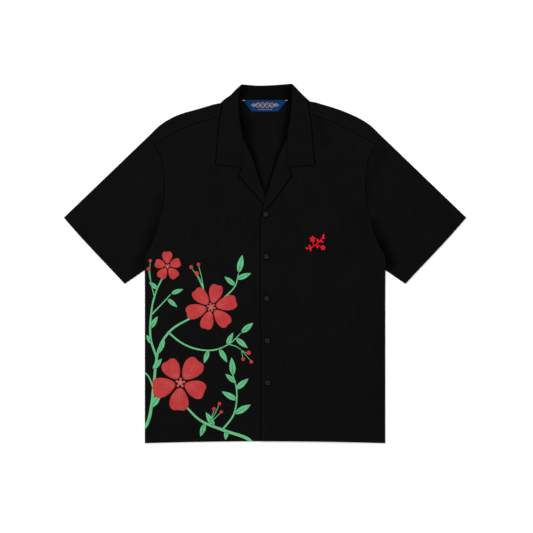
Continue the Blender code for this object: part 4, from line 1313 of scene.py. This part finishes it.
def buildCollar():
    halves = []
    below = surfaces["front_right"] + surfaces["front_left"] + surfaces["back"]
    for sign in sides.values():
        backRows = fineRows(collarBack, 8)[0]
        frontRows = fineRows(collarFront, 5)[0]
        frontRows[:, 10] = np.clip(frontRows[:, 10], 16, 180)
        half = [collarSection(row, sign, -up) for row in backRows] + cornerSections(sign)
        first = len(half)
        half = np.array(half + [collarSection(row, sign, up) for row in frontRows])
        front = half[first:]
        need = heightOn(below, front, 3) + layers["pitch"] + 0.05
        need[frontRows[:, 10] > 90, :20] = np.nan
        half[first:] = settled(front, need, 0.3)
        halves.append(half)
    grid = np.concatenate([halves[0][::-1], halves[1][1:]])
    hollow = collarHollow
    apart = np.hypot(grid[..., 0] - hollow["x"], grid[..., 1] - hollow["y"])
    near = bell(apart, 0, hollow["reach"])[..., None]
    grid[..., :2] += near * hollow["deep"] * unit(np.array([1.0, -1.0]))
    fromEdge = edgeDistance(grid)
    out, y = np.abs(grid[..., 0]), grid[..., 1]
    inFront = ramp(grid[..., 2], 3.2, 4.6)
    grid[..., 2] -= inFront * (0.14 * bell(fromEdge, 5.6, 0.9) + 0.1 * bell(fromEdge, 0, 0.7))
    stand = np.zeros(grid.shape[:2])
    stand[:, :13] = 1  # the inner face, up to the roll
    # painted shade on the stand's inner face and along the edge, and a painted highlight line where it lies
    # in front
    shade = 1 - stand * (0.46 + 0.42 * ramp(out, 34, 54)) * ramp(y, 262, 300)
    shade *= 1 - 0.95 * bell(fromEdge, 0, 1.7)
    part = {"points": grid, "uv": runUv(grid), "shade": shade, "paintedLight": paintedHighlightLine(fromEdge) * inFront}
    piece = clothPiece("shirt_collar", [part], layers["collarWall"], finishes["facing"])
    surfaces["collar"] = [layerTree(grid)]
    return piece


pieces["collar"] = buildCollar()
print("collar laid")


# The woven label under the back neck seam

labelCut = {
    "topY": 359.0, "footY": 334.0, "topHalf": 48.6, "footHalf": 28.6, "lift": 0.95, "pucker": 0.16,
    "shade": 0.42, "shadeWide": 26.0,  # painted shadow towards the wearer's right, where the collar's shade falls
}


def buildLabel():
    cut = labelCut
    v = np.linspace(0, 1, 15)[:, None]
    u = np.linspace(-1, 1, 49)[None]
    half = cut["footHalf"] + (cut["topHalf"] - cut["footHalf"]) * v
    x, y = u * half, cut["footY"] + (cut["topY"] - cut["footY"]) * v + 0 * u
    grid = flat(x, y)
    z = fillHoles(heightOn(surfaces["back"], grid, 1)) + cut["lift"]
    z += cut["pucker"] * np.sin(x / 5.2 + 1.2 * np.sin(y / 9)) * np.sin(math.pi * v)
    z -= 0.15 * (bell(v, 1, 0.12) + bell(np.abs(u), 1, 0.05))
    grid[..., 2] = z
    uv = np.stack([x, y - (cut["topY"] + cut["footY"]) / 2], -1)
    # painted shadow towards the wearer's right and along the top
    shade = 1 - cut["shade"] * (1 - ramp(x + cut["topHalf"], 0, cut["shadeWide"])) - 0.12 * bell(v, 1, 0.3)
    part = {"points": grid, "uv": uv, "shade": shade}
    piece = clothPiece("shirt_neck_label", [part], layers["labelWall"], finishes["label"])
    surfaces["label"] = [layerTree(grid)]
    return piece


pieces["neck_label"] = buildLabel()
print("label laid")


# Buttons: turned discs with a dish and four holes, sewn down the left front

buttonCut = {
    "count": 5, "radius": 5.7, "thick": 2.4, "topX": 1.7, "topY": 108.0, "pitch": 92.4, "drift": 1.05,
    "hole": 0.75, "holePlace": 1.35, "sides": 48,
}
buttonProfile = [  # shares of the radius and the thickness
    (0.0, 0.0), (0.78, 0.0), (0.9, 0.06), (0.98, 0.22), (1.0, 0.42), (1.0, 0.62), (0.985, 0.8),
    (0.95, 0.92), (0.9, 0.985), (0.85, 1.0), (0.79, 0.98), (0.73, 0.9), (0.67, 0.79), (0.6, 0.72),
    (0.5, 0.685), (0.4, 0.672), (0.3, 0.666), (0.2, 0.662), (0.0, 0.66),
]


def discShade(radius):  # painted shade in the dish, and a painted highlight on the ring of its slope
    share = radius / buttonCut["radius"]
    look = looks["button"]
    dish = (1 - look["dish"]) * (1 - ramp(share, 0.24, 0.4))
    return 1 - dish + (look["ring"] - 1) * bell(share, 0.46, 0.11)


def discMesh():
    cut = buttonCut
    shape = bmesh.new()
    points = [shape.verts.new((r * cut["radius"] * mm, 0, z * cut["thick"] * mm)) for r, z in buttonProfile]
    edges = [shape.edges.new(pair) for pair in zip(points, points[1:])]
    bmesh.ops.spin(shape, geom=points + edges, axis=(0, 0, 1), cent=(0, 0, 0), angle=2 * math.pi,
                   steps=cut["sides"], use_merge=True)
    bmesh.ops.remove_doubles(shape, verts=shape.verts, dist=0.01 * mm)
    bmesh.ops.recalc_face_normals(shape, faces=shape.faces)
    return meshOf("disc", shape)


def pinMesh():
    cut = buttonCut
    shape = bmesh.new()
    for x, y in ((-1, -1), (1, -1), (-1, 1), (1, 1)):
        pin = bmesh.ops.create_cone(shape, cap_ends=True, segments=14, radius1=cut["hole"] * mm,
                                    radius2=cut["hole"] * mm, depth=0.02)
        bmesh.ops.translate(shape, verts=pin["verts"], vec=Vector((x, y, 0)) * cut["holePlace"] * mm)
    return meshOf("pins", shape)


def buildButtons():
    cut = buttonCut
    disc = addObject("disc", discMesh(), finishes["button"])
    pins = addObject("pins", pinMesh(), finishes["button"])
    drill = disc.modifiers.new("Holes", "BOOLEAN")
    drill.operation = "DIFFERENCE"
    drill.object = pins
    mesh = evaluated(disc)
    disc.modifiers.clear()
    for helper in (disc, pins):
        bpy.data.objects.remove(helper, do_unlink=True)
    spots = []
    for k in range(cut["count"]):
        name = f"button_{k + 1}"
        x, y = cut["topX"] + k * cut["drift"], cut["topY"] - k * cut["pitch"]
        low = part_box(name)[0][2] / mm
        degrees = 7 * math.sin(5.1 * k + 0.6)  # each is sewn on at its own angle
        turned = mesh.copy()
        points = np.array([v.co[:] for v in turned.vertices]) / mm
        pointValues(turned, "shade", discShade(np.hypot(points[:, 0], points[:, 1])))
        points[:, :2] = turnedShape(points[:, :2], x, y, degrees)
        turned.vertices.foreach_set("co", ((points + (0, 0, low)) * mm).ravel())
        turned.shade_smooth()
        turned.set_sharp_from_angle(angle=math.radians(40))
        pieces[name] = linked("shirt_" + name, turned)
        spots.append((x, y, low, degrees))
    return spots


buttonSpots = buildButtons()
print("buttons turned")


# Sewing

sewing = {
    "pitch": 3.1,  # from one stitch to the next
    "stitch": 2.5,
    "thread": 0.34,
    "cuffDeep": 26.0,
    "edgeIn": 5.6,  # the topstitching inside the edges of the collar and lapels
    "standY": 365.2,
    "holeLong": 14.0,  # a buttonhole
    "holeWide": 2.6,
    "tackReach": 4.6,  # the gold stitches at the label's corners
}


def sunkOn(name, line, wall="wall", below=False):  # stitches lie sunk a little into the cloth
    return onTop(line, surfaces[name], layers[wall] / 2 - 0.04, below)


def hemPath(name, start, end, below=False):
    x = np.linspace(start, end, 90)
    return sunkOn(name, np.stack([x, hemY(x) + hem["deep"]], -1), below=below)


def cuffPath(side, below=False):
    sign = sides[side]
    low, top = (np.array([sign * sleeveCut[k][0], sleeveCut[k][1]]) for k in ("cuffLow", "cuffTop"))
    along = unit(top - low)
    inward = np.array([-along[1], along[0]]) * sign
    gone = np.linspace(-3, 195, 80)
    line = cuffBow(low + inward * sewing["cuffDeep"] + along * gone[:, None], sign, gone / 192)
    return sunkOn("sleeve_" + side, line, below=below)


def lapelPath(side):
    sign = sides[side]
    rows = np.array((lapelTop + lapelLow[side])[4:-2])
    line = insetLine(evenLine(rows[:, 2:4], 60), -sewing["edgeIn"])
    return sunkOn("lapel_" + side, line[line[:, 1] < 211] * (sign, 1), "lapelWall")


def collarPaths(sign):
    rows = np.array(collarFront)
    outer = insetLine(evenLine(rows[:, 6:8], 70), -sewing["edgeIn"])
    lower = insetLine(evenLine(np.array([rows[-1, 6:8], rows[-1, 0:2]]), 30), -sewing["edgeIn"])
    outer = outer[outer[:, 1] > lower[0, 1] + 0.5]
    line = np.vstack([outer, lower[lower[:, 0] < outer[-1, 0]]]) * (sign, 1)
    return sunkOn("collar", line, "collarWall")


def levelLine(reach, y, count):
    return np.stack([np.linspace(-reach, reach, count), np.full(count, y)], -1)


def buttonholeThreads():
    threads = []
    half = sewing["holeLong"] / 2
    for x, y, low, _ in buttonSpots:
        for side in (-1, 1):
            for t in np.arange(-half, half + 0.1, 0.5):
                near, far = 0.25 * side, sewing["holeWide"] / 2 * side
                threads.append([(x + near, y + t, low - 0.1), (x + far, y + t + 0.1, low - 0.14)])
        for end in (-half, half):
            for t in np.arange(-1.3, 1.4, 0.45):
                threads.append([(x + t, y + end - 0.9, low - 0.08), (x + t, y + end + 0.9, low - 0.08)])
    return threads


def buttonThreads():
    threads = []
    place, dish = buttonCut["holePlace"], 0.67 * buttonCut["thick"]
    bow = ((-1, -1.5), (-1, 0.05), (-0.6, 0.32), (0, 0.4), (0.6, 0.32), (1, 0.05), (1, -1.5))
    for x, y, low, degrees in buttonSpots:
        for side in (-1, 1):
            for strand in (-0.24, 0.0, 0.24):
                line = turnedShape([(side * place + strand, t * place) for t, z in bow], x, y, degrees)
                threads.append(np.column_stack([line, [low + dish + z for t, z in bow]]))
    return threads


def labelTacks():
    threads = []
    reach = sewing["tackReach"]
    for sign in sides.values():
        for t in np.arange(0, reach, 0.42):
            x, high = sign * (48.9 - t), 3.6 + 0.2 * math.sin(math.pi * t / reach)
            threads.append([(x, 357.8, high - 0.3), (x + 0.1, 358.4, high + 0.1), (x, 359.0, high - 0.3)])
    return threads


rows = [hemPath("front_right", -262.5, 13), hemPath("front_left", -7, 262.5),
        hemPath("back", -262.5, 262.5, below=True),
        sunkOn("collar", levelLine(53, sewing["standY"], 50), "collarWall")]
for side, sign in sides.items():
    rows += [cuffPath(side), cuffPath(side, below=True), lapelPath(side), collarPaths(sign)]
labelRow = onTop(levelLine(47, 358.2, 60), surfaces["label"], 0.2)
stitchSizes = {"Pitch": sewing["pitch"], "Length": sewing["stitch"], "Thread": sewing["thread"],
               "Sway": 0.035}
labelSizes = {"Pitch": 2.2, "Length": 1.8, "Thread": 0.3, "Sway": 0.03}
for name, paths, tree, sizes, finish in (
    ("stitches", [row for row in rows if len(row) > 3], "stitches", stitchSizes, "blackThread"),
    ("buttonholes", buttonholeThreads(), "threads", {"Thread": 0.42}, "blackThread"),
    ("button_thread", buttonThreads(), "threads", {"Thread": 0.36}, "blackThread"),
    ("label_stitches", [labelRow], "stitches", labelSizes, "blueThread"),
    ("label_tacks", labelTacks(), "threads", {"Thread": 0.5}, "goldThread"),
):
    pieces[name] = sewn("shirt_" + name, paths, trees[tree], sizes, finishes[finish])
print("sewing done")


# The print on the right front: plain round blossoms, almond leaves and berries on curving stems

printed = {
    "cell": 7.0,
    "sideX": -263.7,  # it runs off the edge here, and is cut finer beside it
    "sidePlaces": (0.7, 1.6, 2.8, 4.2),
    "footY": -390.3,
    "blossoms": [  # x, y, radius, petals, turn
        (-118, -96, 56, 6, 14),
        (-186, -262, 64, 5, 50),
        (-214, -6, 32, 5, 20),
    ],
    "stems": [  # points, width at the root, width at the tip
        ([(-26, -396), (-44, -382), (-92, -366), (-140, -346), (-170, -318), (-182, -300)], 7.4, 4.0),
        ([(-276, -372), (-258, -350), (-249, -310), (-244, -262), (-234, -190), (-206, -146), (-160, -118)],
         7.4, 4.0),
        ([(-238, -208), (-252, -160), (-249, -100), (-238, -58), (-222, -26)], 5.0, 3.0),
        ([(-270, -236), (-256, -248), (-246, -272)], 3.4, 3.0),
        ([(-94, -366), (-68, -330), (-62, -282), (-72, -240)], 4.4, 2.4),
        ([(-90, -76), (-66, -50), (-58, -20)], 3.6, 2.0),
        ([(-249, -112), (-224, -86), (-206, -66)], 3.4, 1.8),
        ([(-214, -150), (-184, -174), (-150, -188), (-112, -190), (-78, -176), (-52, -152)], 4.4, 2.0),
    ],
    "leaves": [  # x, y of the foot, direction in degrees, length, width
        (-66, -330, 30, 40, 13), (-62, -300, 150, 38, 12), (-64, -276, 40, 36, 12),
        (-70, -246, 95, 40, 13), (-64, -262, 140, 30, 10), (-112, -358, 120, 36, 12),
        (-132, -352, 250, 30, 11), (-84, -366, 262, 22, 9), (-250, -316, 55, 38, 13),
        (-246, -232, 50, 30, 11), (-222, -166, 250, 34, 11), (-251, -142, 60, 30, 10),
        (-250, -176, 118, 22, 8), (-58, -20, 78, 40, 13), (-62, -34, 22, 34, 11),
        (-66, -48, 140, 30, 10), (-206, -66, 20, 28, 9), (-214, -78, 320, 28, 9),
        (-52, -152, 40, 34, 12), (-64, -164, 320, 34, 11), (-84, -178, 62, 30, 10),
        (-100, -188, 300, 34, 11), (-124, -191, 250, 30, 10), (-236, -56, 140, 24, 9),
    ],
    "berries": [  # x, y, radius
        (-36, -196, 5.0), (-48, -210, 4.4), (-30, -216, 4.0), (-150, -22, 5.0), (-162, -8, 4.4),
        (-146, -2, 4.0), (-112, -320, 4.6), (-100, -308, 4.0), (-96, -326, 3.8), (-256, -12, 4.2),
        (-252, 6, 3.8),
    ],
    "twigs": [
        ([(-52, -190), (-42, -196), (-36, -196)], 1.6, 1.2),
        ([(-52, -190), (-50, -200), (-48, -208)], 1.6, 1.2),
        ([(-52, -190), (-40, -204), (-31, -214)], 1.6, 1.2),
        ([(-78, -178), (-64, -182), (-52, -190)], 2.2, 1.6),
        ([(-134, -60), (-142, -36), (-150, -24)], 2.0, 1.3),
        ([(-134, -60), (-148, -30), (-161, -10)], 2.0, 1.3),
        ([(-134, -60), (-140, -28), (-146, -4)], 2.0, 1.3),
        ([(-122, -350), (-116, -334), (-112, -322)], 2.0, 1.4),
        ([(-122, -350), (-108, -326), (-101, -310)], 2.0, 1.4),
        ([(-122, -350), (-106, -336), (-97, -327)], 2.0, 1.4),
        ([(-243, -74), (-252, -36), (-256, -14)], 2.2, 1.2),
        ([(-250, -46), (-253, -18), (-252, 3)], 1.6, 1.2),
    ],
}


def ribbon(points, root, tip):
    line = evenLine(smoothLine(points), 5 * len(points))
    half = np.linspace(root, tip, len(line)) / 2
    along = travelled(line)
    half *= np.sqrt(np.clip((along[-1] - along) / half[-1], 0.04, 1))  # its tip is round
    aside = leftOf(line) * half[:, None]
    return np.vstack([line + aside, (line - aside)[::-1]])


def petal(wide):  # a broad round petal that points along +x, its tip a little hollow
    angle = np.linspace(-math.pi, math.pi, 34, endpoint=False)
    x = 0.5 + 0.5 * np.cos(angle)
    y = wide * np.sin(angle) * (0.5 + 0.5 * x)
    x = 0.17 + 0.83 * x - 0.07 * bell(angle, 0, 0.35)
    return np.stack([x, y], -1)


def leafHalves(long, wide):
    t = np.linspace(0, 1, 12)
    rise = wide / 2 * np.sin(math.pi * t**0.85) ** 0.9
    gap = 0.5 * (1 - t)
    upper = np.vstack([np.stack([t * long, gap + rise], -1), np.stack([t[-2:0:-1] * long, gap[-2:0:-1]], -1)])
    return [upper, (upper * (1, -1))[::-1]]


def roundShape(x, y, radius, count=14):
    angle = np.linspace(0, 2 * math.pi, count, endpoint=False)
    return np.stack([x + radius * np.cos(angle), y + radius * np.sin(angle)], -1)


def printShapes():
    greens, reds, pales = [ribbon(*stem) for stem in printed["stems"] + printed["twigs"]], [], []
    for x, y, degrees, long, wide in printed["leaves"]:
        greens += [turnedShape(half, x, y, degrees) for half in leafHalves(long, wide)]
    for x, y, radius, count, turn in printed["blossoms"]:
        for k in range(count):
            degrees = turn + 360 * k / count
            swing = radius * (1 + 0.07 * math.sin(2.3 * k + x))
            reds.append(turnedShape(petal(0.42 if count == 5 else 0.35), x, y, degrees, swing))
            for bend, length in ((-13, 0.56), (0, 0.74), (13, 0.56)):
                vein = [(0.24, -0.012), (length, 0.0), (0.24, 0.012)]
                pales.append(turnedShape(vein, x, y, degrees + bend, swing))
            spot = turnedShape([(0.13, 0)], x, y, degrees + 180 / count, radius)[0]
            pales.append(roundShape(*spot, 0.042 * radius, 10))
        pales.append(roundShape(x, y, 0.09 * radius))
    reds += [roundShape(*berry) for berry in printed["berries"]]
    return greens, reds, pales


def clothTop(name, points):
    return heightOn(surfaces[name], points) + layers["wall"] / 2


def addFilm(name, outlines, lift, finish):
    cuts = [(0, printed["sideX"], True), (1, printed["footY"], True)]
    cuts += [(0, printed["sideX"] + place, False) for place in printed["sidePlaces"]]
    mesh = polygonMesh(name, outlines, printed["cell"], cuts, lift)
    piece = addObject(name, mesh, finish)
    film = piece.modifiers.new("Film", "SOLIDIFY")
    film.thickness = 0.16 * mm
    film.offset = -1
    return piece


films = (("print_leaves", 0.05, "greenInk"), ("print_petals", 0.09, "redInk"),
         ("print_veins", 0.13, "paleInk"))
for (name, lift, ink), outlines in zip(films, printShapes()):
    pieces[name] = addFilm(name, outlines, lift, finishes[ink])
print("print laid")


# A small satin-stitched sprig on the left chest

sprig = {
    "x": 113.3, "y": 45.8, "pitch": 0.42, "thread": 0.5,
    "stems": [([(-19, -13), (-10, -10), (0, -3), (8, 5), (14, 13)], 1.7),
              ([(-5, -7), (-8, -1), (-9, 4)], 1.4),
              ([(-2, -5), (6, -7), (11, -10)], 1.4)],
    "leaves": [  # foot x, y, direction, length, width
        (-18, -13, 165, 7, 4.2), (-14, -11, 280, 8, 4.2), (4, 1, 115, 9, 4.5), (7, 4, 340, 9, 4.5),
        (14, 12, 75, 8, 4.5), (11, 9, 15, 8, 4), (-13, -11, 120, 8, 4), (1, -6, 285, 7, 3.8),
    ],
    "flowers": [(-9, 8, 6.4, 5), (14, -11, 5.2, 5)],  # x, y, petal length, petals
}


def satin(line, widths, pitch):  # threads across a line, each bowed up a little
    long = travelled(line)[-1]
    where = np.arange(pitch, long, pitch)
    spots = atLengths(line, where)
    half = np.interp(where / long, np.linspace(0, 1, len(widths)), widths) / 2
    aside = leftOf(spots) * half[:, None]
    return [(spot - step, spot + step) for spot, step, h in zip(spots, aside, half) if h > 0.15]


def sprigThreads():
    pairs = []
    for points, wide in sprig["stems"]:
        line = evenLine(smoothLine(points), 40)
        pairs += satin(line, [wide, wide], sprig["pitch"])
    leafShape = [0.2, 0.7, 1.0, 0.85, 0.5, 0.1]
    for x, y, degrees, long, wide in sprig["leaves"]:
        line = turnedShape([(0, 0), (long, 0)], x, y, degrees)
        pairs += satin(evenLine(line, 8), [w * wide for w in leafShape], sprig["pitch"])
    for x, y, long, count in sprig["flowers"]:
        for k in range(count):
            line = turnedShape([(0.9, 0), (long, 0)], x, y, 90 + 360 * k / count)
            pairs += satin(evenLine(line, 8), [1.6, 3.2, 3.8, 2.6], sprig["pitch"])
    threads = []
    for a, b in pairs:
        a, b = a + (sprig["x"], sprig["y"]), b + (sprig["x"], sprig["y"])
        spots = np.array([a, a + (b - a) * 0.25, (a + b) / 2, a + (b - a) * 0.75, b])
        z = fillLine(clothTop("front_left", spots))
        threads.append(np.column_stack([spots, z + np.array([-0.1, 0.28, 0.38, 0.28, -0.1])]))
    return threads


pieces["chest_sprig"] = sewn("chest_sprig", sprigThreads(), trees["threads"], {"Thread": sprig["thread"]},
                             finishes["redThread"])
print("sprig stitched")


# Floor, light and camera

studio = {
    "frameWide": 1170.6,  # what the photograph's frame takes in
    "lookX": 3.2,
    "lookY": -6.5,
    "lens": 85.0,
    "sensor": 36.0,
    "world": 0.78,
    "lamps": [  # x, y, z, size, watts
        (-1.5, 1.3, 1.7, 1.2, 40.0),
        (1.7, 0.8, 2.2, 1.8, 14.0),
        (0.0, -1.8, 2.4, 2.4, 10.0),
    ],
}


def buildStudio():
    reach = 6.0
    floorMesh = bpy.data.meshes.new("floor")
    corners = [(x * reach, y * reach, 0) for x, y in ((-1, -1), (1, -1), (1, 1), (-1, 1))]
    floorMesh.from_pydata(corners, [], [(0, 1, 2, 3)])
    white, tree, shader = newFinish("white sweep", {"roughness": 0.9, "specular": 0.1})
    pale = objectPlace(tree).noise(40).mix((0.93, 0.93, 0.93), (0.95, 0.95, 0.95))
    feed(tree, shader, {"Base Color": pale})
    addObject("floor", floorMesh, white)
    world = bpy.data.worlds.new("studio")
    world.use_nodes = True
    feed(world.node_tree, world.node_tree.nodes["Background"],
         {"Color": (1, 1, 1), "Strength": studio["world"]})
    bpy.context.scene.world = world
    for k, (x, y, z, size, watts) in enumerate(studio["lamps"]):
        lamp = bpy.data.lights.new(f"softbox_{k + 1}", "AREA")
        lamp.size, lamp.energy = size, watts
        made = linked(lamp.name, lamp)
        made.location = (x, y, z)
        made.rotation_euler = (-Vector((x, y, z))).to_track_quat("-Z", "Y").to_euler()
    lens = bpy.data.cameras.new("camera")
    lens.lens, lens.sensor_width = studio["lens"], studio["sensor"]
    camera = linked("camera", lens)
    far = studio["frameWide"] * mm * studio["lens"] / studio["sensor"]
    camera.location = (studio["lookX"] * mm, studio["lookY"] * mm, far + 0.004)
    bpy.context.scene.camera = camera
    bpy.context.scene.view_settings.view_transform = "Standard"


buildStudio()

# What each piece rides on and stands for, and how each piece of cloth was cut

stands = {
    "shirting": ["back", "front_right", "front_left", "sleeve_right", "sleeve_left"],
    "facing": ["lapel_right", "lapel_left", "collar"],
    "label": ["neck_label"],
    "button": [f"button_{k + 1}" for k in range(buttonCut["count"])],
}
for piece in pieces.values():
    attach(piece, "root")
for slot, names in stands.items():
    for name in names:
        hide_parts(name)

cloths = {  # width and length as cut, in metres, what it lies on and what is sewn or printed on it
    "back": ((0.530, 0.800), ["floor"]),
    "front_right": ((0.280, 0.728), ["back", "sleeve_right"],
                    ["print_leaves", "print_petals", "print_veins"]),
    "front_left": ((0.273, 0.728), ["front_right", "back", "sleeve_left"], ["chest_sprig", "buttonholes"]),
    "sleeve_right": ((0.600, 0.258), ["floor"]),
    "sleeve_left": ((0.600, 0.258), ["floor"]),
    "lapel_right": ((0.052, 0.165), ["front_right"]),
    "lapel_left": ((0.052, 0.185), ["front_left"]),
    "collar": ((0.112, 0.500), ["back", "front_right", "front_left"]),
    "neck_label": ((0.1012, 0.0262), ["back"], ["label_stitches", "label_tacks"]),
}
for name, (size, below, *carried) in cloths.items():
    piece = pieces[name]
    "folded" if name in stands["facing"] else "laid"
